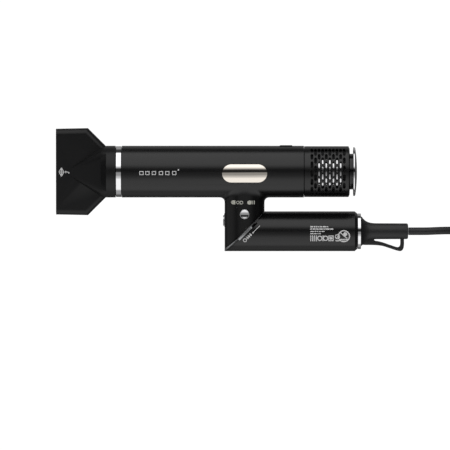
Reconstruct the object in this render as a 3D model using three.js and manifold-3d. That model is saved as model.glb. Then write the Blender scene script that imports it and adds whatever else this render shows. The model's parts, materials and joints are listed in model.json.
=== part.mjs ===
// A folding hair dryer with a straight round barrel, a flat slot nozzle and a handle that folds
// along the barrel on a joint cut at 45 degrees. Millimetres, +Z up, lying on its side.
//
// Shapes are drawn around the fold joint: +X runs along the folded handle to the cord, +Y from
// the handle to the barrel. The exported group moves that point so that the origin is at the
// middle of the dryer's footprint on the surface that it lies on.
import * as THREE from 'three';
import { mergeVertices } from 'three/addons/utils/BufferGeometryUtils.js';
import Module from 'manifold-3d';

const wasm = await Module();
wasm.setup();

// Driving dimensions.
const GAP = 0.3; // between pieces that touch
const HALF_TURN = Math.PI;
const QUARTER_TURN = Math.PI / 2;
const SIDES = 32; // facets of a round casing

const BARREL_RADIUS = 24;
const BARREL_WALL = 2;
const BARREL_FRONT = -113.9;
const BARREL_BACK = 55;
const BARREL_OFFSET = 55.5; // handle axis to barrel axis
const NECK_RADIUS = 18.5; // the handle has the same radius
const NECK_WALL = 2;
const NECK_FILLET = 5;
const JOINT_GAP = 0.15; // each side of the sliding plane of the fold joint

const NOZZLE_TIP = -174.9;
const NOZZLE_SHOULDER = -145.3;
const NOZZLE_COLLAR_END = -128.2;
const NOZZLE_HALF_WIDTH = 40.4;
const NOZZLE_HALF_THICKNESS = 7;

const TAIL_RADIUS = 23.6;
const TAIL_WALL = 1.6;
const TAIL_START = 55.3;
const TAIL_END = 97.4;

const HANDLE_END = 104.6;
const STRAIN_RELIEF_END = 151.8;

const CORD_RADIUS = 3.575;
const CORD_PITCH = 7.2; // between neighbouring turns of the stored cord
const COIL_CENTRE = [252, 38.5];
const COIL_INNER = 28.9; // centreline of the innermost turn
const COIL_LAYERS = 2;
const PLUG_AXIS_Y = 114;
const PLUG_AXIS_HEIGHT = 11;

// Finishes.
const FINISHES = {
  mattePlastic: { color: 0x161617, roughness: 0.5, metalness: 0 },
  glossPlastic: { color: 0x0c0c0d, roughness: 0.25, metalness: 0 },
  rubber: { color: 0x1a1a1b, roughness: 0.7, metalness: 0 },
  chrome: { color: 0xe2e2e4, roughness: 0.08, metalness: 1 },
  satinSteel: { color: 0xa6a8aa, roughness: 0.35, metalness: 1 },
  steelMesh: { color: 0xb9bbbe, roughness: 0.25, metalness: 1 },
  brass: { color: 0xc9a85c, roughness: 0.3, metalness: 1 },
  mica: { color: 0xb8ad8e, roughness: 0.6, metalness: 0 },
  circuitBoard: { color: 0x1d5a37, roughness: 0.5, metalness: 0 },
  whitePlastic: { color: 0xe4e4e0, roughness: 0.45, metalness: 0 },
  lightPipe: { color: 0xdfe9ee, roughness: 0.2, metalness: 0 },
};

const dryer = new THREE.Group();
const barrelGroup = new THREE.Group(); // its X axis is the barrel's axis
const jointGroup = new THREE.Group(); // its X axis is the fold axis, its Y axis lies in the joint
const floorGroup = new THREE.Group(); // its zero height is the surface that the dryer lies on
barrelGroup.position.y = BARREL_OFFSET;
jointGroup.rotation.z = -Math.PI / 4;
floorGroup.position.z = -BARREL_RADIUS;
dryer.add(barrelGroup, jointGroup, floorGroup);

function add(group, name, geometry, finish) {
  const mesh = new THREE.Mesh(geometry, new THREE.MeshStandardMaterial(FINISHES[finish]));
  mesh.name = name;
  group.add(mesh);
  return mesh;
}

// Joining and cutting: geometry in, geometry out.
function solidOf(geometry) {
  const bare = new THREE.BufferGeometry();
  bare.setAttribute('position', geometry.getAttribute('position'));
  bare.setIndex(geometry.index);
  const merged = mergeVertices(bare, 1e-4);
  const corners = merged.index.array;
  const kept = [];
  for (let i = 0; i < corners.length; i += 3) {
    const [a, b, c] = corners.subarray(i, i + 3);
    if (a !== b && b !== c && c !== a) kept.push(a, b, c);
  }
  const vertProperties = new Float32Array(merged.getAttribute('position').array);
  return new wasm.Manifold(
    new wasm.Mesh({ numProp: 3, vertProperties, triVerts: new Uint32Array(kept) }),
  );
}

function geometryOf(solid) {
  const { vertProperties, triVerts } = solid.simplify(0.01).getMesh();
  const geometry = new THREE.BufferGeometry();
  geometry.setAttribute('position', new THREE.BufferAttribute(vertProperties, 3));
  geometry.setIndex(new THREE.BufferAttribute(triVerts, 1));
  geometry.computeVertexNormals();
  return geometry;
}

const join = (first, ...others) =>
  geometryOf(others.reduce((sum, other) => sum.add(solidOf(other)), solidOf(first)));
const cut = (body, ...tools) =>
  geometryOf(tools.reduce((left, tool) => left.subtract(solidOf(tool)), solidOf(body)));
const common = (first, ...others) =>
  geometryOf(others.reduce((left, other) => left.intersect(solidOf(other)), solidOf(first)));

// Basic forms. Each one is drawn along X.
function box(xFrom, xTo, yFrom, yTo, zFrom, zTo) {
  const geometry = new THREE.BoxGeometry(xTo - xFrom, yTo - yFrom, zTo - zFrom);
  return geometry.translate((xFrom + xTo) / 2, (yFrom + yTo) / 2, (zFrom + zTo) / 2);
}

// Turns a profile of [x, radius] points about the X axis.
function turned(profile, segments = SIDES) {
  const points = profile.map(([x, radius]) => new THREE.Vector2(radius, x));
  return new THREE.LatheGeometry(points, segments).rotateZ(-QUARTER_TURN);
}

function rod(xFrom, xTo, radius, segments = SIDES) {
  return turned([[xFrom, 0], [xFrom, radius], [xTo, radius], [xTo, 0]], segments);
}

function tube(xFrom, xTo, outer, inner, segments = SIDES) {
  const profile = [[xFrom, outer], [xTo, outer], [xTo, inner], [xFrom, inner], [xFrom, outer]];
  return turned(profile, segments);
}

const upright = (geometry) => geometry.rotateY(-QUARTER_TURN); // X to Z
const alongY = (geometry) => geometry.rotateZ(QUARTER_TURN); // X to Y

// Joins rings of equally many points into one closed body with flat ends.
function loft(rings) {
  const count = rings[0].length;
  const points = rings.flat();
  const faces = [];
  for (let ring = 0; ring < rings.length - 1; ring++) {
    for (let i = 0; i < count; i++) {
      const next = (i + 1) % count;
      const [a, b] = [ring * count + i, ring * count + next];
      faces.push(a, b, b + count, a, b + count, a + count);
    }
  }
  const last = (rings.length - 1) * count;
  for (let i = 1; i < count - 1; i++) {
    faces.push(0, i + 1, i, last, last + i, last + i + 1);
  }
  const geometry = new THREE.BufferGeometry().setFromPoints(points);
  geometry.setIndex(faces);
  return geometry;
}

// A stadium shape in the XY plane.
function pill(halfLength, radius) {
  const shape = new THREE.Shape();
  const centre = halfLength - radius;
  shape.absarc(centre, 0, radius, -QUARTER_TURN, QUARTER_TURN);
  shape.absarc(-centre, 0, radius, QUARTER_TURN, 3 * QUARTER_TURN);
  return shape;
}

function prism(shape, depth, curveSegments = 8) {
  return new THREE.ExtrudeGeometry(shape, { depth, bevelEnabled: false, curveSegments });
}

function polygon(points) {
  return new THREE.Shape(points.map(([x, y]) => new THREE.Vector2(x, y)));
}

// A round cord along a smooth curve through the given [x, y, z] points.
function cordAlong(route, steps, radius = CORD_RADIUS) {
  const curve = new THREE.CatmullRomCurve3(route.map((point) => new THREE.Vector3(...point)));
  const section = new THREE.Shape().absarc(0, 0, radius, 0, 2 * HALF_TURN);
  const settings = { steps, extrudePath: curve, curveSegments: 4, bevelEnabled: false };
  return new THREE.ExtrudeGeometry(section, settings);
}

// The fold joint. Both casings and both rings end on planes across the fold axis, which leans
// 45 degrees to the neck and to the handle.
const NECK_RING_END = 1.8;
const HANDLE_RING_END = 0.85;

// Everything on one side of a plane across the fold axis, in the joint group's own axes.
function halfSpace(distance, side) {
  const size = 160;
  return new THREE.BoxGeometry(size, size, size).translate(distance + (side * size) / 2, 0, 0);
}

const fromJoint = (geometry) => geometry.rotateZ(jointGroup.rotation.z);
const toJoint = (geometry) => geometry.rotateZ(-jointGroup.rotation.z);
const toBarrel = (geometry) => geometry.translate(0, -BARREL_OFFSET, 0);

// Small rounded ring between the neck and the barrel: a curve across the corner, all the way
// round the neck, closed behind by points that lie inside both walls.
function neckFillet() {
  const steps = 4;
  const buried = 1;
  const tucked = 0.12; // how far the curve's ends sink below the facets of the round walls
  const rings = [];
  const barrelSurface = (reach, sine) =>
    -Math.sqrt(BARREL_RADIUS ** 2 - (reach * sine) ** 2);
  for (let i = 0; i <= SIDES; i++) {
    const angle = (2 * HALF_TURN * i) / SIDES;
    const [cosine, sine] = [Math.cos(angle), Math.sin(angle)];
    const corner = barrelSurface(NECK_RADIUS, sine);
    const slope = (NECK_RADIUS * sine ** 2) / -corner;
    const reach = NECK_RADIUS + NECK_FILLET / Math.hypot(1, slope);
    const curve = new THREE.QuadraticBezierCurve(
      new THREE.Vector2(NECK_RADIUS - tucked, corner - NECK_FILLET),
      new THREE.Vector2(NECK_RADIUS, corner),
      new THREE.Vector2(reach, barrelSurface(reach, sine) + tucked),
    );
    const section = curve.getPoints(steps);
    section.push(
      new THREE.Vector2(reach - buried / 2, barrelSurface(reach, sine) + buried),
      new THREE.Vector2(NECK_RADIUS - buried, corner + buried),
      new THREE.Vector2(NECK_RADIUS - buried, corner - NECK_FILLET),
    );
    rings.push(section.map((p) => new THREE.Vector3(p.x * cosine, p.y, p.x * sine)));
  }
  const count = rings[0].length;
  const faces = [];
  for (let ring = 0; ring < SIDES; ring++) {
    for (let i = 0; i < count; i++) {
      const next = (i + 1) % count;
      const [a, b] = [ring * count + i, ring * count + next];
      faces.push(a, b, b + count, a, b + count, a + count);
    }
  }
  const geometry = new THREE.BufferGeometry().setFromPoints(rings.flat());
  geometry.setIndex(faces);
  return geometry;
}

// Barrel and neck casing: one moulding, open at both ends of the barrel and at the joint.
const BADGE_HALF_LENGTH = 20.8;
const BADGE_RADIUS = 8.4;
const BUTTON_Y = 17.3;
const BUTTON_RADIUS = 4.4;
const LIGHT_PLACE = [-7.2, 23.5];
const LIGHT_RADIUS = 0.7;
const BEZEL = { low: 3.9, high: 17, halfWidth: 3.6, outer: -18.9, inner: -16.9 };
const LATCH = { from: 32.8, to: 44.2, halfWidth: 4, top: 24.9, bottom: 21.8 };

function badgeBlank(inner, outer, margin) {
  const shape = pill(BADGE_HALF_LENGTH + margin, BADGE_RADIUS + margin);
  const length = BADGE_HALF_LENGTH + 5;
  return common(tube(-length, length, outer, inner), prism(shape, 2 * BARREL_RADIUS));
}

function barrelShell() {
  const neckReach = 30;
  const neckRound = (radius, top) => toBarrel(alongY(rod(-neckReach, top, radius)));
  const grown = GAP + BUTTON_RADIUS;
  const tooWide = 40;
  const neck = cut(
    neckRound(NECK_RADIUS, BARREL_OFFSET),
    toBarrel(fromJoint(halfSpace(-NECK_RING_END - GAP, 1))),
  );
  const body = join(rod(BARREL_FRONT, BARREL_BACK, BARREL_RADIUS), neck, neckFillet());
  return cut(
    body,
    rod(BARREL_FRONT - 1, BARREL_BACK + 1, BARREL_RADIUS - BARREL_WALL),
    neckRound(NECK_RADIUS - NECK_WALL, BARREL_OFFSET - 8),
    badgeBlank(BARREL_RADIUS - 0.8, tooWide, GAP),
    toBarrel(upright(rod(0, tooWide, grown, 20)).translate(0, BUTTON_Y, 0)),
    toBarrel(upright(rod(0, tooWide, LIGHT_RADIUS + GAP, 10)).translate(...LIGHT_PLACE, 0)),
    toBarrel(
      box(-tooWide, -14, BEZEL.low - GAP, BEZEL.high + GAP, -BEZEL.halfWidth - GAP,
        BEZEL.halfWidth + GAP),
    ),
    box(LATCH.from - GAP, LATCH.to + GAP, 10, tooWide, -LATCH.halfWidth - GAP,
      LATCH.halfWidth + GAP),
  );
}

function addBarrel() {
  add(barrelGroup, 'barrel_shell', barrelShell(), 'mattePlastic');
  add(barrelGroup, 'front_ring', tube(-119.3, -114.2, TAIL_RADIUS, 20.1), 'chrome');
  add(barrelGroup, 'badge_plate', badgeBlank(BARREL_RADIUS - 0.5, BARREL_RADIUS + 0.3, 0), 'chrome');
  const spigot = [
    [-127.5, 19.5], [-112.6, 19.5], [-112.6, 21.6], [-109, 21.6], [-109, 18], [-127.5, 18],
    [-127.5, 19.5],
  ];
  add(barrelGroup, 'outlet_spigot', turned(spigot), 'mattePlastic');
}

function addOutletGrille() {
  const [front, back] = [-113, -110.6];
  const rim = tube(front, back, 17.7, 16.4);
  const bars = [];
  for (const place of [-8, 0, 8]) {
    const reach = Math.sqrt(17 ** 2 - place ** 2);
    bars.push(box(front, back, -reach, reach, place - 0.6, place + 0.6));
    bars.push(box(front, back, place - 0.6, place + 0.6, -reach, reach));
  }
  add(barrelGroup, 'outlet_grille', join(rim, ...bars), 'mattePlastic');
}

// Controls on the neck.
function addNeckControls() {
  const face = 18.9;
  const flange = [[12.5, 0], [12.5, 5.4], [14, 5.4], [14, BUTTON_RADIUS]];
  const crown = [[face - 0.5, BUTTON_RADIUS], [face, BUTTON_RADIUS - 0.6], [face, 0]];
  const button = upright(turned([...flange, ...crown], 20)).translate(0, BUTTON_Y, 0);
  add(dryer, 'mode_button', button, 'chrome');

  const lamp = upright(rod(11.3, 17.1, LIGHT_RADIUS, 10)).translate(...LIGHT_PLACE, 0);
  add(dryer, 'status_light', lamp, 'lightPipe');

  const board = join(
    box(-9, 9, 12.5, 29.5, 9.4, 11),
    upright(rod(10, 11.5, 2, 12)).translate(0, BUTTON_Y, 0),
  );
  add(dryer, 'button_board', board, 'circuitBoard');

  const { low, high, halfWidth, outer, inner } = BEZEL;
  const window = box(outer - 1, inner + 1, 4.4, 15.5, -2.9, 2.9);
  const frame = cut(box(outer, inner, low, high, -halfWidth, halfWidth), window);
  add(dryer, 'control_bezel', frame, 'glossPlastic');
  add(dryer, 'power_button', box(-20, -16.2, 4.9, 11.9, -2.6, 2.6), 'chrome');
  add(dryer, 'cool_button', box(-20, -16.2, 12.7, 15, -2.6, 2.6), 'chrome');
  add(dryer, 'power_switch_block', box(-15, -11.4, 6.5, 15.5, -4, 4), 'whitePlastic');
}

function addFilterLatch() {
  const { from, to, halfWidth, top, bottom } = LATCH;
  const strip = box(from, to, 0, 40, -halfWidth, halfWidth);
  add(barrelGroup, 'filter_latch', common(tube(from, to, top, bottom), strip), 'mattePlastic');
}

// Heater: a mica cross wound with resistance wire, inside an insulating sleeve.
function addHeater() {
  add(barrelGroup, 'heater_sleeve', tube(-108, 12, 21, 20.4, 32), 'mica');
  const cross = join(box(-104, -30, -15, 15, -0.4, 0.4), box(-104, -30, -0.4, 0.4, -15, 15));
  add(barrelGroup, 'heater_frame', cross, 'mica');

  const wire = { from: -98, to: -42, turns: 8, radius: 17.3, thickness: 0.7, stepsPerTurn: 9 };
  const steps = wire.turns * wire.stepsPerTurn;
  const route = [];
  for (let i = 0; i <= steps; i++) {
    const angle = (2 * HALF_TURN * i) / wire.stepsPerTurn;
    const x = THREE.MathUtils.lerp(wire.from, wire.to, i / steps);
    route.push(new THREE.Vector3(x, wire.radius * Math.cos(angle), wire.radius * Math.sin(angle)));
  }
  const section = new THREE.Shape().absarc(0, 0, wire.thickness, 0, 2 * HALF_TURN);
  const settings = {
    steps, extrudePath: new THREE.CatmullRomCurve3(route), curveSegments: 3, bevelEnabled: false,
  };
  const coil = new THREE.ExtrudeGeometry(section, settings);
  add(barrelGroup, 'heater_coil', coil, 'satinSteel');

  const fuse = rod(-66, -54, 1.8, 12).translate(0, -8, 8);
  add(barrelGroup, 'thermal_fuse', fuse, 'whitePlastic');
  add(barrelGroup, 'ion_emitter', box(-26, -14, 8, 14, 8, 14), 'whitePlastic');
}

// Fan: the motor sits on vanes inside the shroud, and the impeller behind it pulls air in
// through the tail.
function addFan() {
  const vanes = [];
  const vaneCount = 5;
  for (let i = 0; i < vaneCount; i++) {
    vanes.push(box(22, 36, 10.6, 20.2, -0.6, 0.6).rotateX((2 * HALF_TURN * i) / vaneCount));
  }
  const shroud = join(tube(16, 50, 20.7, 19.7), tube(22, 38, 11.2, 10, 24), ...vanes);
  add(barrelGroup, 'fan_shroud', shroud, 'mattePlastic');
  add(barrelGroup, 'motor_can', tube(20, 40, 9.6, 2.1, 24), 'satinSteel');

  const hubProfile = [
    [18, 0], [18, 1.7], [41, 1.7], [41, 9.4], [46, 8.6], [50.2, 4.5], [51, 0],
  ];
  const blades = [];
  const bladeCount = 7;
  const pitch = THREE.MathUtils.degToRad(35);
  for (let i = 0; i < bladeCount; i++) {
    const blade = box(-4, 4, 7, 18.9, -0.5, 0.5).rotateY(pitch).translate(45.4, 0, 0);
    blades.push(blade.rotateX((2 * HALF_TURN * i) / bladeCount));
  }
  add(barrelGroup, 'impeller', join(turned(hubProfile, 24), ...blades), 'glossPlastic');
}

// Tail: a perforated sleeve with two fields of staggered long cells, and solid strips between.
const CELL = { halfLength: 3.3, halfWidth: 2.6, columns: 5, first: 64, pitch: 6.64 };
const CELL_ANGLE = THREE.MathUtils.degToRad(20);

function cellCutter(x, angle, halfLength) {
  const { halfWidth } = CELL;
  return box(x - halfWidth, x + halfWidth, -halfLength, halfLength, 20, 26).rotateX(angle);
}

function tailShell() {
  const inner = TAIL_RADIUS - TAIL_WALL;
  const shell = turned([
    [51.2, 21.6], [TAIL_START, 21.6], [TAIL_START, TAIL_RADIUS], [TAIL_END - 1, TAIL_RADIUS],
    [TAIL_END, 21.4], [TAIL_END, 16.9], [TAIL_END - 1.5, 16.9], [TAIL_END - 1.5, inner],
    [56.8, inner], [56.8, 20.2], [51.2, 20.2], [51.2, 21.6],
  ], 24);
  const cells = [];
  for (let column = 0; column < CELL.columns; column++) {
    const x = CELL.first + column * CELL.pitch;
    const even = column % 2 === 1;
    const places = even ? [-1.5, -0.5, 0.5, 1.5] : [-3, -2, -1, 0, 1, 2, 3];
    for (const side of [0, HALF_TURN]) {
      for (const place of places) {
        cells.push(cellCutter(x, side + place * CELL_ANGLE, CELL.halfLength));
      }
      if (even) {
        cells.push(cellCutter(x, side + 2.75 * CELL_ANGLE, 1.5 * CELL.halfLength));
        cells.push(cellCutter(x, side - 2.75 * CELL_ANGLE, 1.5 * CELL.halfLength));
      }
    }
  }
  return cut(shell, ...cells);
}

function addTail() {
  add(barrelGroup, 'tail_shell', tailShell(), 'mattePlastic');
  add(barrelGroup, 'filter_mesh', tube(57.1, 93.3, 19.6, 19.1, 32), 'steelMesh');
  const hub = [[93.6, 0], [93.6, 19.6], [95.6, 19.6], [95.6, 16.6], [99.7, 16.6], [99.7, 0]];
  add(barrelGroup, 'rear_hub', turned(hub), 'glossPlastic');
  const cap = [
    [100, 0], [100, 21.8], [100.6, 22.75], [101.7, 22.75], [102.8, 22.3], [103.5, 21.2],
    [103.8, 19.4], [104.1, 10], [104.3, 4], [104.3, 0],
  ];
  add(barrelGroup, 'rear_cap', turned(cap), 'chrome');
}

// Nozzle: a collar, a wedge that drops from it, and a wide flat blade with a slot at its tip.
// The wedge's sections are eight-cornered, and are drawn as a distance at each angle so that
// they blend into the round collar.
function wedgeRing(x, halfTop, top, halfBase, base) {
  const corners = [[halfBase, base], [halfTop, top], [-halfTop, top], [-halfBase, base]];
  corners.push(...corners.map(([y, z]) => [-y, -z]));
  const ring = [];
  const count = 32;
  for (let i = 0; i < count; i++) {
    const angle = (2 * HALF_TURN * i) / count;
    const [cosine, sine] = [Math.cos(angle), Math.sin(angle)];
    let reach = Infinity;
    corners.forEach(([y1, z1], side) => {
      const [y2, z2] = corners[(side + 1) % corners.length];
      const [ny, nz] = [z2 - z1, y1 - y2];
      const facing = ny * cosine + nz * sine;
      if (facing > 1e-9) reach = Math.min(reach, (ny * y1 + nz * z1) / facing);
    });
    ring.push(new THREE.Vector3(x, reach * cosine, reach * sine));
  }
  return ring;
}

function roundRing(x, radius) {
  const count = 32;
  return Array.from({ length: count }, (_, i) => {
    const angle = (2 * HALF_TURN * i) / count;
    return new THREE.Vector3(x, radius * Math.cos(angle), radius * Math.sin(angle));
  });
}

// A flat blade with 45 degree shoulders and rounded long edges.
function blade(halfWidth, halfThickness, round, tip, shoulder, root, rootWidth) {
  const outline = polygon([
    [tip, -halfWidth + 0.8], [shoulder, -halfWidth], [root, -rootWidth],
    [root, rootWidth], [shoulder, halfWidth], [tip, halfWidth - 0.8],
  ]);
  const settings = {
    depth: 2 * (halfThickness - round), bevelEnabled: true, bevelThickness: round,
    bevelSize: round, bevelOffset: -round, bevelSegments: 3,
  };
  return new THREE.ExtrudeGeometry(outline, settings).translate(0, 0, round - halfThickness);
}

function nozzleShell() {
  const collarStart = -119.6;
  const bore = 21.9;
  const wedgeTop = -133.3;
  const wedgeFoot = -162;
  const pastTip = NOZZLE_TIP - 10;
  const outer = join(
    rod(NOZZLE_COLLAR_END, collarStart, BARREL_RADIUS, 32),
    loft([
      wedgeRing(wedgeFoot, 3, 6.6, 4, 6.4),
      wedgeRing(wedgeTop, 19, 14.7, 22.6, 6.9),
      roundRing(NOZZLE_COLLAR_END + 0.1, BARREL_RADIUS),
    ]),
    blade(NOZZLE_HALF_WIDTH, NOZZLE_HALF_THICKNESS, 5.5, pastTip, NOZZLE_SHOULDER, -126, 21.1),
  );
  return cut(
    outer,
    rod(NOZZLE_COLLAR_END, collarStart + 1, bore, 32),
    loft([
      wedgeRing(-158, 3, 4.6, 4, 4.4),
      wedgeRing(wedgeTop - 0.6, 17.2, 12.6, 20.6, 5),
      roundRing(NOZZLE_COLLAR_END + 0.1, bore),
    ]),
    blade(37.4, 4.8, 3.5, NOZZLE_TIP + 3.5, -146.3, -128, 19),
    box(pastTip, -168, -33, 33, -2.5, 2.5),
    box(pastTip - 20, NOZZLE_TIP, -60, 60, -20, 20),
  );
}

function addNozzle() {
  add(barrelGroup, 'nozzle_snap_ring', tube(-127, -120.2, 21.6, 19.9, 32), 'satinSteel');
  add(barrelGroup, 'nozzle_shell', nozzleShell(), 'mattePlastic');
}

// Fold joint hardware. A hollow hub fixed in the handle passes the wires and clamps the neck's
// plate between its shoulder and a nut, with a wave washer for friction.
const FOLD_LATCH = { half: 8.4, near: 0.15, far: 1.75, bottom: 14.2, top: 18.9, travel: 4 };

function latchSlot() {
  const { half, far, bottom, travel } = FOLD_LATCH;
  return box(-0.2, far + GAP, -half - GAP, half + travel + GAP, bottom - GAP, 30);
}

function addFoldJoint() {
  const hubBore = 7.6;
  const neck = toJoint(alongY(rod(-40, 40, NECK_RADIUS)));
  const neckRing = cut(
    neck,
    halfSpace(-JOINT_GAP, 1),
    halfSpace(-NECK_RING_END, -1),
    rod(-10, 10, hubBore, 24),
  );
  add(jointGroup, 'hinge_ring_neck', neckRing, 'satinSteel');

  const handle = toJoint(rod(-40, 40, NECK_RADIUS));
  const handleRing = cut(
    handle,
    halfSpace(JOINT_GAP, -1),
    halfSpace(HANDLE_RING_END, 1),
    rod(-10, 10, hubBore, 24),
    latchSlot(),
  );
  add(jointGroup, 'hinge_ring_handle', handleRing, 'satinSteel');

  const hub = [
    [-10.6, 7], [3, 7], [3, 12], [6, 12], [6, 5], [-10.6, 5], [-10.6, 7],
  ];
  add(jointGroup, 'hinge_hub', turned(hub, 24), 'satinSteel');
  add(jointGroup, 'hinge_plate', tube(-6.4, -3.2, 13, 7.4, 24), 'satinSteel');
  add(jointGroup, 'hinge_washer', tube(-7.7, -6.7, 10, 7.4, 24), 'satinSteel');
  const nut = cut(rod(-10.6, -8, 10, 6), rod(-12, -7, 7.3, 24));
  add(jointGroup, 'hinge_nut', nut, 'brass');

  const { half, near, far, bottom, top } = FOLD_LATCH;
  const bar = box(near, far, -half, half, bottom, 30);
  add(jointGroup, 'fold_latch', common(toJoint(rod(-40, 40, top)), bar), 'satinSteel');
}

function addHandle() {
  const inner = NECK_RADIUS - NECK_WALL;
  const profile = [
    [-40, NECK_RADIUS], [102.2, NECK_RADIUS], [HANDLE_END, inner], [HANDLE_END, inner - 0.4],
    [-40, inner - 0.4], [-40, NECK_RADIUS],
  ];
  const mouth = halfSpace(HANDLE_RING_END + GAP, -1);
  const shell = cut(turned(profile), fromJoint(mouth), fromJoint(latchSlot()));
  add(dryer, 'handle_shell', shell, 'mattePlastic');

  const cap = [
    [96, 15.8], [HANDLE_END - GAP, 15.8], [HANDLE_END - GAP, 12.7], [107.9, 12.7], [107.9, 8.3],
    [96, 8.3], [96, 15.8],
  ];
  add(dryer, 'handle_end_cap', turned(cap), 'mattePlastic');
  add(dryer, 'handle_end_ring', tube(HANDLE_END + GAP, 108, 16.5, 13), 'chrome');

  add(dryer, 'control_board', box(24, 80, -13, 13, -0.8, 0.8), 'circuitBoard');
  add(dryer, 'capacitor', rod(50, 64, 5, 20).translate(0, 0, 6.2), 'glossPlastic');
  const choke = new THREE.TorusGeometry(5, 2.2, 8, 16).translate(37, 0, 3.4);
  add(dryer, 'choke', choke, 'brass');
  add(dryer, 'relay', box(67, 78, -7, 7, 1.1, 9), 'glossPlastic');
}

// The lead is held in the handle by a two-part clamp, behind the strain relief.
function addCordClamp() {
  const groove = rod(82, 92, 3.8, 16);
  const holes = [-7, 7].map((y) => upright(rod(-10, 10, 1.8, 10)).translate(87, y, 0));
  const lower = cut(box(84, 90, -10, 10, -6, -0.2), groove.clone(), ...holes);
  const upper = cut(box(84, 90, -10, 10, 0.2, 6), groove.clone(), ...holes);
  add(dryer, 'clamp_base', lower, 'mattePlastic');
  add(dryer, 'cord_clamp', upper, 'mattePlastic');
  const screw = [[-5, 0], [-5, 1.5], [6.3, 1.5], [6.3, 2.8], [8, 2.4], [8, 0]];
  const screwAt = (y) => upright(turned(screw, 12)).translate(87, y, 0);
  add(dryer, 'clamp_screw_left', screwAt(7), 'satinSteel');
  add(dryer, 'clamp_screw_right', screwAt(-7), 'satinSteel');
  add(dryer, 'inner_lead', rod(81, 91.7, CORD_RADIUS - 0.1, 10), 'rubber');
}

// Strain relief: a tapered boot with a flat hanging loop on one side.
function hangingLoop() {
  const halfThickness = 2;
  const outer = new THREE.Shape();
  outer.moveTo(109, -2);
  outer.lineTo(109, -12.9);
  outer.lineTo(120, -12.8);
  outer.quadraticCurveTo(128, -13.2, 134, -15.5);
  outer.lineTo(142.5, -18.3);
  outer.quadraticCurveTo(147.6, -18.9, 148.1, -13);
  outer.lineTo(148.1, -2);
  const hole = new THREE.Path();
  hole.moveTo(120.5, -8.9);
  hole.quadraticCurveTo(128, -10, 134, -12.4);
  hole.lineTo(141, -14.8);
  hole.quadraticCurveTo(144.4, -15.2, 144.6, -11.5);
  hole.lineTo(144.6, -7.9);
  hole.lineTo(124, -7.9);
  outer.holes.push(hole);
  return prism(outer, 2 * halfThickness, 4).translate(0, 0, -halfThickness);
}

function addStrainRelief() {
  const taper = new THREE.SplineCurve([
    new THREE.Vector2(108.3, 13.8), new THREE.Vector2(112.4, 10.8),
    new THREE.Vector2(118, 9.1), new THREE.Vector2(127.6, 7.4),
  ]);
  const profile = [
    [92, 0], [92, 10.5], [95, 10.5], [95, 8], [108.3, 8],
    ...taper.getPoints(8).map((point) => [point.x, point.y]),
    [STRAIN_RELIEF_END - 1.2, 7.2], [STRAIN_RELIEF_END, 6], [STRAIN_RELIEF_END, 0],
  ];
  const boot = join(turned(profile, 24), hangingLoop());
  add(dryer, 'strain_relief', boot, 'rubber');
}

// Mains lead: out of the strain relief, down to the surface, into a flat coil of two layers
// held by a strap, and out to the plug. Heights are above the surface.
const LEAD_ROUTE = [
  [STRAIN_RELIEF_END + GAP, 0, 24], [160, 0, 24], [170, 0, 23.2], [181, 0.2, 20.4],
  [192, 0, 16], [204, -1.2, 11], [216, -3.7, 7], [228, -7.2, 4.5], [240, -10.4, 3.7],
  [COIL_CENTRE[0], -12, 3.7],
];
const TAIL_ROUTE = [
  [COIL_CENTRE[0] + 52.3, 38.5, 10.9], [305.1, 52, 10.3], [306.8, 65, 8.4], [306.8, 78, 6],
  [304, 90.5, 4.4], [297, 101.3, 4.6], [288.6, 109.6, 7.6], [282.6, 112.9, 10.2],
  [277.3, PLUG_AXIS_Y, PLUG_AXIS_HEIGHT],
];

function coilProfile(margin) {
  const inner = COIL_INNER - CORD_RADIUS - margin;
  const outer = COIL_INNER + 3.25 * CORD_PITCH + CORD_RADIUS + margin;
  const top = COIL_LAYERS * CORD_PITCH + margin;
  const bevel = 1.6;
  return [
    [0, outer], [top - bevel, outer], [top, outer - bevel], [top, inner + bevel],
    [top - bevel, inner], [0, inner], [0, outer],
  ];
}

function addCord() {
  const centred = (geometry) => upright(geometry).translate(...COIL_CENTRE, 0);
  const blocked = () => centred(turned(coilProfile(GAP)));
  const lead = cut(cordAlong(LEAD_ROUTE, 14), blocked());
  add(floorGroup, 'mains_cord', lead, 'rubber');
  add(floorGroup, 'cord_tail', cut(cordAlong(TAIL_ROUTE, 16), blocked()), 'rubber');

  // The strap stands at the side of the coil that faces the dryer.
  const strap = { halfWidth: 5, thickness: 0.9, inner: 24.3, outer: 56.2, top: 14.7 };
  const place = (geometry) => geometry.translate(...COIL_CENTRE, 0);
  const loopBox = (grow, bottom) =>
    box(-strap.outer - grow, -strap.inner + grow, -strap.halfWidth, strap.halfWidth,
      bottom, strap.top + grow);
  const strapBody = cut(loopBox(strap.thickness, 0), loopBox(0, strap.thickness).scale(1, 1.2, 1));
  add(floorGroup, 'cord_tie', place(strapBody), 'rubber');
  const notch = box(-60, -20, -strap.halfWidth - GAP, strap.halfWidth + GAP, -1,
    strap.thickness + GAP);
  const coil = cut(centred(turned(coilProfile(0))), place(notch));
  add(floorGroup, 'cord_coil', coil, 'rubber');
}

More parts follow.
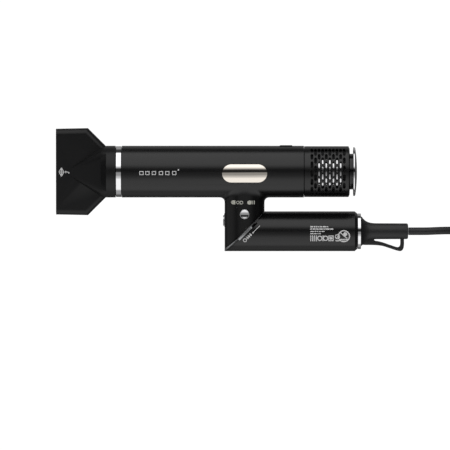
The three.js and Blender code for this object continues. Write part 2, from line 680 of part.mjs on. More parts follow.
// Two-pin plug, lying on its flat side with its pins towards the dryer.
function addPlug() {
  const [front, back] = [217, 255];
  const section = (x, halfWidth, halfHeight) => {
    const round = Math.min(halfWidth, halfHeight) * 0.6;
    const corners = [[1, 1], [-1, 1], [-1, -1], [1, -1]];
    const ring = [];
    corners.forEach(([sideY, sideZ], corner) => {
      for (let step = 0; step <= 3; step++) {
        const angle = QUARTER_TURN * (corner + step / 3);
        const y = sideY * (halfWidth - round) + round * Math.cos(angle);
        const z = sideZ * (halfHeight - round) + round * Math.sin(angle);
        ring.push(new THREE.Vector3(x, y, z));
      }
    });
    return ring;
  };
  const body = loft([
    section(front, 17, 10), section(front + 2, 18, 11), section(front + 16, 17.5, 11),
    section(front + 30, 11, 8.6), section(back, 8.6, 8),
  ]);
  const place = (geometry) => geometry.translate(0, PLUG_AXIS_Y, PLUG_AXIS_HEIGHT);
  add(floorGroup, 'plug_body', place(body), 'rubber');
  const pin = [
    [front - 19, 0], [front - 19, 1.6], [front - 18, 2.4], [front - GAP, 2.4], [front - GAP, 0],
  ];
  const pinSpacing = 19;
  add(floorGroup, 'plug_pin_left', place(turned(pin, 16)).translate(0, pinSpacing / 2, 0), 'chrome');
  add(floorGroup, 'plug_pin_right', place(turned(pin, 16)).translate(0, -pinSpacing / 2, 0), 'chrome');
  const relief = [[back + GAP, 0], [back + GAP, 7.4], [276, 5], [276, 0]];
  add(floorGroup, 'plug_strain_relief', place(turned(relief, 16)), 'rubber');
}

addBarrel();
addOutletGrille();
addNeckControls();
addFilterLatch();
addHeater();
addFan();
addTail();
addNozzle();
addFoldJoint();
addHandle();
addCordClamp();
addStrainRelief();
addCord();
addPlug();

dryer.position.set(
  -(NOZZLE_TIP + STRAIN_RELIEF_END) / 2,
  -(BARREL_OFFSET + NOZZLE_HALF_WIDTH - NECK_RADIUS) / 2,
  BARREL_RADIUS,
);

export default dryer;
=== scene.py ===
import json
from math import cos, degrees, hypot, pi, radians, sin, sqrt

import bmesh
import bpy
from mathutils import Matrix, Vector


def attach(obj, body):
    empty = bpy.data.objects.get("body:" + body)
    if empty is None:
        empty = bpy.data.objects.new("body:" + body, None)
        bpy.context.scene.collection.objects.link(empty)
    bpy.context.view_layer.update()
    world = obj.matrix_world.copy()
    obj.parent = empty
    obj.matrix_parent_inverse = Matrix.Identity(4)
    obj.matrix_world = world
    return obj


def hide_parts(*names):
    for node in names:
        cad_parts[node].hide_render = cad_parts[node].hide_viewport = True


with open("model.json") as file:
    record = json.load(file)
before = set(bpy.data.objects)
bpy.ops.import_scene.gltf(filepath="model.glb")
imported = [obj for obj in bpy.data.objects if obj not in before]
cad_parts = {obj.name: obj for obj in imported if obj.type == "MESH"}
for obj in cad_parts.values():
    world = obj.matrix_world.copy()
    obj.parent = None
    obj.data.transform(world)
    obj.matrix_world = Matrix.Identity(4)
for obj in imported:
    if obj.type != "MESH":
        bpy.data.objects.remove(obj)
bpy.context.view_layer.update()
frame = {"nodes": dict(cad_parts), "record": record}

# ---------------------------------------------------------------------------
# Camera: a long lens high above the table, a few degrees off straight down. Lengths are in
# millimetres from the middle of the fold joint.
mm = 0.001
fold_joint = next(j for j in frame["record"]["behaviour"]["joints"] if j["name"] == "fold_hinge")
fold = Vector(fold_joint["pos_m"])


def place(x, y, z):
    """A point given in millimetres from the fold joint."""
    return fold + Vector((x, y, z)) * mm


LENS = 600
SENSOR = 36
VIEW_WIDTH = 417.8 * mm
CAMERA_TILT = radians(4.6)
camera_distance = VIEW_WIDTH * LENS / SENSOR
view_centre = place(-18.15, 5.8, 0)
camera_data = bpy.data.cameras.new("camera")
camera_data.lens = LENS
camera_data.sensor_width = SENSOR
camera_data.clip_end = 20
camera = bpy.data.objects.new("camera", camera_data)
camera.location = view_centre + camera_distance * Vector((0, sin(CAMERA_TILT), cos(CAMERA_TILT)))
camera.rotation_euler = (-CAMERA_TILT, 0, 0)
bpy.context.scene.collection.objects.link(camera)
bpy.context.scene.camera = camera
bpy.context.scene.view_settings.view_transform = "Standard"

# ---------------------------------------------------------------------------
# Light: a white tent round the dryer, brighter on the barrel's side and darker over the ends.
# A gap in the tent for the camera leaves a dark line along everything that shines.


class Value:
    """A shader socket that can be used in Python sums."""

    def __init__(self, tree, socket):
        self.tree = tree
        self.socket = socket

    def node(self, kind, settings=None, inputs=None, output=0):
        made = self.tree.nodes.new(kind)
        for key, setting in (settings or {}).items():
            setattr(made, key, setting)
        for key, given in (inputs or {}).items():
            if isinstance(given, Value):
                self.tree.links.new(given.socket, made.inputs[key])
            else:
                made.inputs[key].default_value = given
        return Value(self.tree, made.outputs[output])

    def maths(self, operation, first, second=0.0):
        return self.node("ShaderNodeMath", {"operation": operation}, {0: first, 1: second})

    def __add__(self, other):
        return self.maths("ADD", self, other)

    def __sub__(self, other):
        return self.maths("SUBTRACT", self, other)

    def __rsub__(self, other):
        return self.maths("SUBTRACT", other, self)

    def __mul__(self, other):
        return self.maths("MULTIPLY", self, other)

    def __truediv__(self, other):
        return self.maths("DIVIDE", self, other)

    def __gt__(self, other):
        return self.maths("GREATER_THAN", self, other)

    def __lt__(self, other):
        return self.maths("LESS_THAN", self, other)

    __radd__ = __add__
    __rmul__ = __mul__


world = bpy.data.worlds.new("tent")
world.use_nodes = True
bpy.context.scene.world = world
background = world.node_tree.nodes["Background"]
sky = Value(world.node_tree, world.node_tree.nodes.new("ShaderNodeTexCoord").outputs["Generated"])
split = world.node_tree.nodes.new("ShaderNodeSeparateXYZ")
world.node_tree.links.new(sky.socket, split.inputs[0])
across = Value(world.node_tree, split.outputs["Y"])
upward = Value(world.node_tree, split.outputs["Z"])
slant = sky.maths("ARCTAN2", across, upward)


def smooth_rise(value, low, high):
    """Rises smoothly from 0 at the low value to 1 at the high one."""
    return value.node("ShaderNodeMapRange", {"interpolation_type": "SMOOTHSTEP"},
                      {"Value": value, "From Min": low, "From Max": high})


CEILING = 0.02
# Each entry: where the brightness starts to change and where it stops, seen from straight up
# and going round towards the barrel's side or the cord's side, and by how much it changes.
barrel_side = [(15, 35, 1.3), (96, 103, -1.27), (121, 131, 0.25)]
cord_side = [(-5, 2, 0.28), (10, 22, 0.3), (22, 33, 0.45), (80, 95, -0.7), (112, 132, -0.25)]
brightness = CEILING
for start, stop, change in barrel_side:
    brightness = brightness + smooth_rise(slant, radians(start), radians(stop)) * change
for start, stop, change in cord_side:
    rise = smooth_rise(slant * -1, radians(start), radians(stop))
    brightness = brightness + rise * change
lengthwise = Value(world.node_tree, split.outputs["X"])
towards_end = lengthwise.maths("ABSOLUTE", lengthwise)
END_DARKNESS = 0.92
CARD_BRIGHTNESS = 0.26
open_end = smooth_rise(towards_end, 0.4, 0.85)
left_card = smooth_rise(lengthwise * -1, 0.72, 0.95)
brightness = brightness * (1 - open_end * END_DARKNESS) + left_card * CARD_BRIGHTNESS
world.node_tree.links.new(brightness.socket, background.inputs["Strength"])
background.inputs["Color"].default_value = (1, 1, 1, 1)

# ---------------------------------------------------------------------------
# Table: a plain white sheet that glows evenly and takes no shadow. It lies just below the
# dryer and isn't seen in what shines.
TABLE_SIZE = 8
TABLE_HEIGHT = -0.6 * mm
TABLE_GLOW = 1.05

bpy.ops.object.select_all(action="DESELECT")
bpy.ops.mesh.primitive_plane_add(size=TABLE_SIZE, location=(0, 0, TABLE_HEIGHT))
table = bpy.context.object
table.name = "table"
table_finish = bpy.data.materials.new("white_table")
table_finish.use_nodes = True
table_shader = table_finish.node_tree.nodes["Principled BSDF"]
table_shader.inputs["Base Color"].default_value = (0, 0, 0, 1)
table_shader.inputs["Specular IOR Level"].default_value = 0
table_shader.inputs["Emission Color"].default_value = (1, 1, 1, 1)
table_shader.inputs["Emission Strength"].default_value = TABLE_GLOW
table.visible_glossy = False
table.visible_diffuse = False
table.visible_transmission = False
table.data.materials.append(table_finish)

# ---------------------------------------------------------------------------
# Mains lead: two cores in a round black sheath, 1.8 m long. It leaves the strain relief, sinks
# to the table and is stored as a flat two-layer coil with the plug lying beside it.
CORD_DIAMETER = 7.15 * mm
COIL_PITCH = 7.2
COIL_INNER = 28.9
COIL_CENTRE = (252, 38.5)
BED_HEIGHT = 3.7
TOP_HEIGHT = 10.9
POINTS_PER_TURN = 16


def finish(name, colour, roughness, metallic=0.0, grain=0.02, grain_size=0.25, drift=0.15,
           smear=0.06, coat=0.0, stretch=(1, 1, 1)):
    """A surface whose colour and roughness drift slightly under a fine grain."""
    made = bpy.data.materials.new(name)
    made.use_nodes = True
    tree = made.node_tree
    shader = tree.nodes["Principled BSDF"]
    start = Value(tree, tree.nodes.new("ShaderNodeTexCoord").outputs["Object"])
    where = start.node("ShaderNodeMapping", None, {"Vector": start, "Scale": stretch})
    cloud = start.node("ShaderNodeTexNoise", None, {"Vector": where, "Scale": 28.0, "Detail": 4.0})
    speck = start.node(
        "ShaderNodeTexNoise", None,
        {"Vector": where, "Scale": 1 / (grain_size * mm), "Detail": 2.0, "Roughness": 0.6},
    )
    dark = tuple(c * (1 - drift) for c in colour) + (1,)
    light = tuple(min(1, c * (1 + drift)) for c in colour) + (1,)
    shade = start.node("ShaderNodeMix", {"data_type": "RGBA"}, {0: cloud, 6: dark, 7: light}, 2)
    tree.links.new(shade.socket, shader.inputs["Base Color"])
    rough = (cloud - 0.5) * (2 * smear) + (speck - 0.5) * smear + roughness
    tree.links.new(rough.socket, shader.inputs["Roughness"])
    bump = start.node(
        "ShaderNodeBump", None,
        {"Strength": 1.0, "Distance": grain * mm, "Height": speck},
    )
    tree.links.new(bump.socket, shader.inputs["Normal"])
    shader.inputs["Metallic"].default_value = metallic
    shader.inputs["Coat Weight"].default_value = coat
    shader.inputs["Coat Roughness"].default_value = 0.1
    return made


def on_table(x, y, above):
    """A point given like place(), but with its height above the table."""
    return Vector((fold.x + x * mm, fold.y + y * mm, above * mm))


rubber_black = finish("black_rubber", (0.011, 0.011, 0.012), 0.48, grain=0.02, grain_size=0.4)

lead_route = [
    (152.1, 0, 24), (160, 0, 24), (170, 0, 23.2), (181, 0.2, 20.4), (192, 0, 16),
    (204, -1.2, 11), (216, -3.7, 7), (228, -7.2, 4.5), (240, -10.4, 3.7),
]
tail_route = [
    (305.1, 52, 10.3), (306.8, 65, 8.4), (306.8, 78, 6), (304, 90.5, 4.4), (297, 101.3, 4.6),
    (288.6, 109.6, 7.6), (282.6, 112.9, 10.2), (276.6, 114, 11),
]
coil_route = []
BED_TURNS = 3
TOP_TURNS = 3.25
for step in range(int((BED_TURNS + TOP_TURNS) * POINTS_PER_TURN) + 1):
    turn_count = step / POINTS_PER_TURN
    if turn_count <= BED_TURNS:
        radius = COIL_INNER + (BED_TURNS - turn_count) * COIL_PITCH
    else:
        radius = COIL_INNER + (turn_count - BED_TURNS) * COIL_PITCH
    climb = min(max((turn_count - BED_TURNS + 0.02) / 0.22, 0), 1)
    smooth_climb = climb * climb * (3 - 2 * climb)
    above = BED_HEIGHT + (TOP_HEIGHT - BED_HEIGHT) * smooth_climb
    angle = 2 * pi * turn_count - pi / 2
    x, y = COIL_CENTRE[0] + radius * cos(angle), COIL_CENTRE[1] + radius * sin(angle)
    coil_route.append((x, y, above))
cord_points = [on_table(*p) for p in lead_route + coil_route + tail_route]

cord_curve = bpy.data.curves.new("mains_lead", "CURVE")
cord_curve.dimensions = "3D"
cord_curve.bevel_depth = CORD_DIAMETER / 2
cord_curve.bevel_resolution = 6
cord_curve.resolution_u = 6
cord_curve.use_fill_caps = True
spline = cord_curve.splines.new("BEZIER")
spline.bezier_points.add(len(cord_points) - 1)
for point, co in zip(spline.bezier_points, cord_points):
    point.co = co
    point.handle_left_type = "AUTO"
    point.handle_right_type = "AUTO"
mains_lead = bpy.data.objects.new("mains_lead", cord_curve)
bpy.context.scene.collection.objects.link(mains_lead)
cord_curve.materials.append(rubber_black)
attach(mains_lead, "handle")
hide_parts("mains_cord", "cord_coil", "cord_tail")

# ---------------------------------------------------------------------------
# Barrel casing: one moulding in soft-touch black, with the neck growing out of it through a
# small fillet. It is open at both ends and at the fold joint.
BARREL_Y = 55.5
BARREL_RADIUS = 24.0
BARREL_WALL = 2.0
BARREL_FRONT = -113.9
BARREL_BACK = 55.0
NECK_RADIUS = 18.5
NECK_WALL = 2.0
NECK_FILLET = 5.0
BADGE_HALF_LENGTH = 20.8
BADGE_RADIUS = 8.4
BUTTON_Y = 17.3
NECK_RING_END = 1.8
EDGE = 0.25  # the small chamfer at each end
NECK_FOOT = -26.0
SEAM_OVERLAP = 1.2
BADGE_GAP = 0.3
BADGE_SINK = 0.8
BUTTON_HOLE = 4.7
LIGHT_HOLE = 0.9
KEY_WINDOW = (-30, -14, 3.6, 17.3, -3.9, 3.9)
CATCH_WINDOW = (32.5, 44.5, BARREL_Y + 10, BARREL_Y + 30, -4.3, 4.3)
WHOLE_SIDE = (-90, 90, -60, 60)  # along the joint and up: reaches past every piece there
TO_JOINT = Matrix.Translation(fold) @ Matrix.Rotation(-pi / 4, 4, "Z")

soft_black = finish("soft_touch_black", (0.0042, 0.0042, 0.0045), 0.27, grain=0.003, smear=0.02)
soft_black.node_tree.nodes["Principled BSDF"].inputs["Specular IOR Level"].default_value = 0.46


def start_piece():
    """Leaves nothing selected, so that the next operator acts on one piece only."""
    bpy.ops.object.select_all(action="DESELECT")


def pick(piece):
    start_piece()
    piece.select_set(True)
    bpy.context.view_layer.objects.active = piece


def merge(piece, distance):
    """Bakes the piece's place into its mesh, merges doubles and turns the faces outwards."""
    pick(piece)
    bpy.ops.object.transform_apply()
    bpy.ops.object.mode_set(mode="EDIT")
    bpy.ops.mesh.select_all(action="SELECT")
    bpy.ops.mesh.remove_doubles(threshold=distance)
    bpy.ops.mesh.normals_make_consistent(inside=False)
    bpy.ops.object.mode_set(mode="OBJECT")


def clean(piece, name, material, smooth=35):
    """Merges the piece, smooths its shading and gives it its name and finish."""
    merge(piece, 0.004 * mm)
    bpy.ops.object.shade_smooth_by_angle(angle=radians(smooth))
    piece.name = name
    piece.data.name = name
    piece.data.materials.clear()
    piece.data.materials.append(material)
    return piece


def apply_modifier(piece, kind, **settings):
    """Adds a modifier and applies it at once."""
    pick(piece)
    modifier = piece.modifiers.new("step", kind)
    for key, value in settings.items():
        setattr(modifier, key, value)
    bpy.ops.object.modifier_apply(modifier=modifier.name)
    return piece


def turn(stations, axis_y, axis_z=0, sides=128, solid=False):
    """Extrudes a ring along X through (x, radius) stations round an axis beside the joint."""
    start_piece()
    x, radius = stations[0]
    bpy.ops.mesh.primitive_circle_add(vertices=sides, radius=radius * mm,
                                      location=place(x, axis_y, axis_z),
                                      rotation=(0, pi / 2, 0))
    piece = bpy.context.object
    bpy.ops.object.transform_apply()
    bpy.ops.object.mode_set(mode="EDIT")
    bpy.ops.mesh.select_all(action="SELECT")
    if solid:
        bpy.ops.mesh.edge_face_add()
        bpy.ops.mesh.select_all(action="SELECT")
    for next_x, next_radius in stations[1:]:
        move = {"value": ((next_x - x) * mm, 0, 0)}
        if solid:
            bpy.ops.mesh.extrude_region_move(TRANSFORM_OT_translate=move)
        else:
            bpy.ops.mesh.extrude_edges_move(TRANSFORM_OT_translate=move)
        growth = next_radius / radius
        bpy.ops.transform.resize(value=(1, growth, growth),
                                 center_override=place(next_x, axis_y, axis_z))
        x, radius = next_x, next_radius
    bpy.ops.object.mode_set(mode="OBJECT")
    return piece


def carve(piece, tool, operation="DIFFERENCE"):
    """Joins, cuts or keeps what is common, and removes the tool."""
    for each in (piece, tool):
        merge(each, 0.002 * mm)
    apply_modifier(piece, "BOOLEAN", operation=operation, object=tool, solver="EXACT")
    bpy.data.objects.remove(tool)
    return piece


def block(x_from, x_to, y_from, y_to, z_from, z_to):
    """A straight block between six planes."""
    start_piece()
    middle = ((x_from + x_to) / 2, (y_from + y_to) / 2, (z_from + z_to) / 2)
    bpy.ops.mesh.primitive_cube_add(size=1, location=place(*middle))
    piece = bpy.context.object
    piece.scale = ((x_to - x_from) * mm, (y_to - y_from) * mm, (z_to - z_from) * mm)
    bpy.ops.object.transform_apply()
    return piece


def post(x, y, z_from, z_to, radius, sides=48, direction="Z"):
    """A round bar along Z, or along Y with z_from and z_to read as y values at height y."""
    start_piece()
    middle = (z_from + z_to) / 2
    centre = place(x, y, middle) if direction == "Z" else place(x, middle, y)
    rotation = (0, 0, 0) if direction == "Z" else (pi / 2, 0, 0)
    bpy.ops.mesh.primitive_cylinder_add(vertices=sides, radius=radius * mm,
                                        depth=(z_to - z_from) * mm, location=centre,
                                        rotation=rotation)
    bpy.ops.object.transform_apply()
    return bpy.context.object


def joint_block(near, far, along_from, along_to, z_from, z_to):
    """A block in the fold joint's own directions: across the joint, along it, and up."""
    start_piece()
    bpy.ops.mesh.primitive_cube_add(size=1)
    piece = bpy.context.object
    piece.scale = (abs(far - near) * mm, (along_to - along_from) * mm, (z_to - z_from) * mm)
    bpy.ops.object.transform_apply(location=False, rotation=False, scale=True)
    settle = Matrix.Translation(
        ((near + far) / 2 * mm, (along_from + along_to) / 2 * mm, (z_from + z_to) / 2 * mm))
    piece.data.transform(TO_JOINT @ settle)
    return piece


def finish_piece(piece, name, material, body, slot, *nodes, smooth=35):
    """Cleans the piece and says what it moves with and what it stands for."""
    clean(piece, name, material, smooth)
    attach(piece, body)
    if nodes:
        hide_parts(*nodes)
    return piece


def from_mesh(mesh, name):
    """Gives the edited geometry an object of its own."""
    data = bpy.data.meshes.new(name)
    mesh.to_mesh(data)
    mesh.free()
    piece = bpy.data.objects.new(name, data)
    bpy.context.scene.collection.objects.link(piece)
    return piece


def prism(corners, rise, name):
    """An upright bar over a flat outline."""
    mesh = bmesh.new()
    face = mesh.faces.new([mesh.verts.new(corner) for corner in corners])
    grown = bmesh.ops.extrude_face_region(mesh, geom=[face])
    tops = [v for v in grown["geom"] if isinstance(v, bmesh.types.BMVert)]
    bmesh.ops.translate(mesh, verts=tops, vec=(0, 0, rise * mm))
    bmesh.ops.recalc_face_normals(mesh, faces=mesh.faces[:])
    return from_mesh(mesh, name)


def neck_with_fillet():
    """The neck as a closed solid whose skin flares out to meet the barrel."""
    around = 96
    flare_steps = 10
    mesh = bmesh.new()
    rings = []
    for i in range(around):
        angle = 2 * pi * i / around
        c, s = cos(angle), sin(angle)
        corner = BARREL_Y - sqrt(BARREL_RADIUS ** 2 - (NECK_RADIUS * s) ** 2)
        slope = NECK_RADIUS * s * s / (BARREL_Y - corner)
        reach = NECK_RADIUS + NECK_FILLET / hypot(1, slope)
        top = BARREL_Y - sqrt(BARREL_RADIUS ** 2 - (reach * s) ** 2)
        column = [(NECK_RADIUS, NECK_FOOT)]
        for k in range(flare_steps + 1):
            t = k / flare_steps
            r = (1 - t) ** 2 * NECK_RADIUS + 2 * t * (1 - t) * NECK_RADIUS + t * t * reach
            y = (1 - t) ** 2 * (corner - NECK_FILLET) + 2 * t * (1 - t) * corner + t * t * top
            column.append((r, y))
        column.append((reach, top + SEAM_OVERLAP))
        column.append((NECK_RADIUS - 4, BARREL_Y - 10))
        rings.append([mesh.verts.new(place(r * c, y, r * s)) for r, y in column])
    for i in range(around):
        here, there = rings[i], rings[(i + 1) % around]
        for k in range(len(here) - 1):
            mesh.faces.new((here[k], there[k], there[k + 1], here[k + 1]))
    mesh.faces.new([ring[0] for ring in rings])
    mesh.faces.new([ring[-1] for ring in rings])
    return from_mesh(mesh, "neck")


def pill_prism(half_length, radius, z_from, z_to, centre=(0, 0)):
    """An upright stadium-shaped bar."""
    straight = half_length - radius
    arc = 24
    outline = []
    for side_sign in (1, -1):
        for k in range(arc + 1):
            angle = pi * k / arc - side_sign * pi / 2
            outline.append((side_sign * straight + radius * cos(angle), radius * sin(angle)))
    corners = [place(centre[0] + x, centre[1] + y, z_from) for x, y in outline]
    return prism(corners, z_to - z_from, "pill")


barrel = turn([(BARREL_FRONT, BARREL_RADIUS - EDGE), (BARREL_FRONT + EDGE, BARREL_RADIUS),
               (BARREL_BACK - EDGE, BARREL_RADIUS), (BARREL_BACK, BARREL_RADIUS - EDGE)],
              BARREL_Y, solid=True)
neck = neck_with_fillet()
carve(neck, joint_block(-NECK_RING_END - 0.3, 120, *WHOLE_SIDE))
carve(barrel, neck, "UNION")
bore = turn([(BARREL_FRONT - 1, BARREL_RADIUS - BARREL_WALL),
             (BARREL_BACK + 1, BARREL_RADIUS - BARREL_WALL)], BARREL_Y, sides=64, solid=True)
carve(barrel, bore)
carve(barrel, post(0, 0, -30, BARREL_Y - 12, NECK_RADIUS - NECK_WALL, 64, "Y"))
badge_recess = pill_prism(BADGE_HALF_LENGTH + BADGE_GAP, BADGE_RADIUS + BADGE_GAP, 10, 40,
                          (0, BARREL_Y))
recess_floor = turn([(-30, BARREL_RADIUS - BADGE_SINK), (30, BARREL_RADIUS - BADGE_SINK)],
                    BARREL_Y, solid=True)
carve(badge_recess, recess_floor)
carve(barrel, badge_recess)
carve(barrel, post(0, BUTTON_Y, 5, 30, BUTTON_HOLE))
carve(barrel, post(-7.2, 23.5, 5, 30, LIGHT_HOLE, 24))
carve(barrel, block(*KEY_WINDOW))
carve(barrel, block(*CATCH_WINDOW))
finish_piece(barrel, "barrel_casing", soft_black, "barrel", "matte_black", "barrel_shell")

# ---------------------------------------------------------------------------
# Outlet ring: a narrow turned ring in polished chrome. It is pressed on between the barrel
# and the nozzle's collar.
OUTLET_RING = (-119.3, -114.2, 20.3, 23.6)  # from, to, inner radius, outer radius
RING_CHAMFER = 0.3
chrome = finish("polished_chrome", (0.86, 0.86, 0.87), 0.05, 1.0, grain=0.0006, grain_size=2,
                drift=0.02, smear=0.02)


def turned_ring(start, stop, inner, outer, axis_y):
    """A square-cut ring with both outer edges chamfered."""
    low = outer - RING_CHAMFER
    return turn([(start, inner), (start, low), (start + RING_CHAMFER, outer),
                 (stop - RING_CHAMFER, outer), (stop, low), (stop, inner), (start, inner)],
                axis_y)


ring = turned_ring(*OUTLET_RING, BARREL_Y)
finish_piece(ring, "outlet_ring", chrome, "barrel", "chrome_trim", "front_ring")

# ---------------------------------------------------------------------------
# Badge: a plain oblong plate in champagne chrome, let into the top of the barrel. It is a
# slice of a turned shell that is crowned flatter than the barrel.
BADGE_CROWN = 34.0
BADGE_TOP = 24.25
BADGE_THICKNESS = 0.8
badge_chrome = finish("champagne_chrome", (0.86, 0.8, 0.72), 0.07, 1.0, grain=0.0006,
                      grain_size=2, drift=0.03, smear=0.02)


def soften(piece, width, segments=3, angle=35):
    """Rounds the edges that are sharper than the angle."""
    return apply_modifier(piece, "BEVEL", width=width * mm, segments=segments,
                          limit_method="ANGLE", angle_limit=radians(angle))


badge = pill_prism(BADGE_HALF_LENGTH, BADGE_RADIUS, 10, 40, (0, BARREL_Y))
badge_under = BADGE_CROWN - BADGE_THICKNESS
badge_skin = turn([(-30, badge_under), (-30, BADGE_CROWN), (30, BADGE_CROWN), (30, badge_under),
                   (-30, badge_under)], BARREL_Y, BADGE_TOP - BADGE_CROWN, sides=192)
carve(badge, badge_skin, "INTERSECT")
soften(badge, 0.25, 2)
finish_piece(badge, "badge", badge_chrome, "barrel", "chrome_trim", "badge_plate")

# ---------------------------------------------------------------------------
# Nozzle: moulded in one with its collar. A wedge drops from the round collar to a wide flat
# blade with 45 degree shoulders, and the air leaves through a slot in its cut tip.
NOZZLE_TIP = -174.9
COLLAR_END = -128.2
COLLAR_START = -119.6
COLLAR_RADIUS = 24.0
COLLAR_BORE = 21.9
nozzle_black = finish("nozzle_black", (0.006, 0.006, 0.0064), 0.36, grain=0.006, smear=0.03)
nozzle_black.node_tree.nodes["Principled BSDF"].inputs["Specular IOR Level"].default_value = 0.3


def wedge_ring(x, half_top, top, half_base, base):
    """An eight-cornered section with the same number of points along each of its sides."""
    upper = [(half_base, base), (half_top, top), (-half_top, top), (-half_base, base)]
    corners = upper + [(-y, -z) for y, z in upper]
    per_side = 16
    ring_points = []
    for (y1, z1), (y2, z2) in zip(corners, corners[1:] + corners[:1]):
        for k in range(per_side):
            share = k / per_side
            ring_points.append((x, y1 + (y2 - y1) * share, z1 + (z2 - z1) * share))
    return ring_points


def round_ring(x, radius, matched):
    """A circle whose points lie at the same angles as another ring's."""
    return [(x, radius * y / hypot(y, z), radius * z / hypot(y, z)) for _, y, z in matched]


def skin(rings):
    """A closed body over rings of points round the barrel's axis."""
    mesh = bmesh.new()
    loops = [[mesh.verts.new(place(x, BARREL_Y + y, z)) for x, y, z in each] for each in rings]
    for here, there in zip(loops, loops[1:]):
        for i in range(len(here)):
            j = (i + 1) % len(here)
            mesh.faces.new((here[i], here[j], there[j], there[i]))
    mesh.faces.new(loops[0])
    mesh.faces.new(loops[-1])
    bmesh.ops.recalc_face_normals(mesh, faces=mesh.faces[:])
    return from_mesh(mesh, "skin")


def flat_blade(half_width, half_thickness, rounding, tip, shoulder, root, root_width):
    """A flat plate with slanted shoulders and rounded long edges."""
    outline = [(tip, 0.8 - half_width), (shoulder, -half_width), (root, -root_width),
               (root, root_width), (shoulder, half_width), (tip, half_width - 0.8)]
    low = [place(x, BARREL_Y + y, -half_thickness) for x, y in outline]
    return soften(prism(low, 2 * half_thickness, "blade"), rounding, 8, 60)


wedge_top = wedge_ring(-133.3, 19, 14.7, 22.6, 6.9)
nozzle = skin([wedge_ring(-162, 3, 6.6, 4, 6.4), wedge_top,
               round_ring(COLLAR_END, COLLAR_RADIUS, wedge_top),
               round_ring(COLLAR_START - 0.3, COLLAR_RADIUS, wedge_top),
               round_ring(COLLAR_START, COLLAR_RADIUS - 0.3, wedge_top)])
carve(nozzle, flat_blade(40.4, 7, 5.5, NOZZLE_TIP - 10, -145.3, -126, 21.1), "UNION")
cavity_top = wedge_ring(-133.9, 17.2, 12.6, 20.6, 5)
carve(nozzle, skin([wedge_ring(-158, 3, 4.6, 4, 4.4), cavity_top,
                    round_ring(COLLAR_END, COLLAR_BORE, cavity_top),
                    round_ring(COLLAR_START + 1, COLLAR_BORE, cavity_top)]))
carve(nozzle, flat_blade(37.4, 4.8, 3.5, NOZZLE_TIP + 3.5, -146.3, -128, 19))
carve(nozzle, block(-190, -168, BARREL_Y - 33, BARREL_Y + 33, -2.5, 2.5))
carve(nozzle, block(-220, NOZZLE_TIP, BARREL_Y - 60, BARREL_Y + 60, -20, 20))
soften(nozzle, 0.35, 2, 50)
finish_piece(nozzle, "nozzle", nozzle_black, "nozzle", "matte_black", "nozzle_shell", smooth=28)

# ---------------------------------------------------------------------------
# Tail sleeve: moulded black, with two fields of staggered long cells that let the air in, and
# plain strips between them. The cells are laid out on a flat sheet that is rolled round.
TAIL_RADIUS = 23.6
TAIL_WALL = 1.3
TAIL_START = 55.3
TAIL_END = 97.4
CELL_COLUMNS = 10
CELL_PITCH = 3.32
CELL_FIRST = 62.3
CELL_HALF_WIDTH = 1.3
STEP = 2.5  # degrees between the sleeve's lengthwise lines
WEB = 1.2  # between two cells of one column, along the circumference
TAIL_INSIDE = 21.9
HUB_HOLE = 16.9
SKIRT_FROM, SKIRT_TO = 51.2, 56.8  # the skirt slides into the barrel
SKIRT_BORE = 20.2
ROUND = 144  # steps in a full turn
FIELD_START = -70
PLAIN_STEPS = 16  # the strip between the two fields
FIELDS = ([8] * 7, [12, 8, 8, 8, 8, 12])  # steps in each cell of the two kinds of column


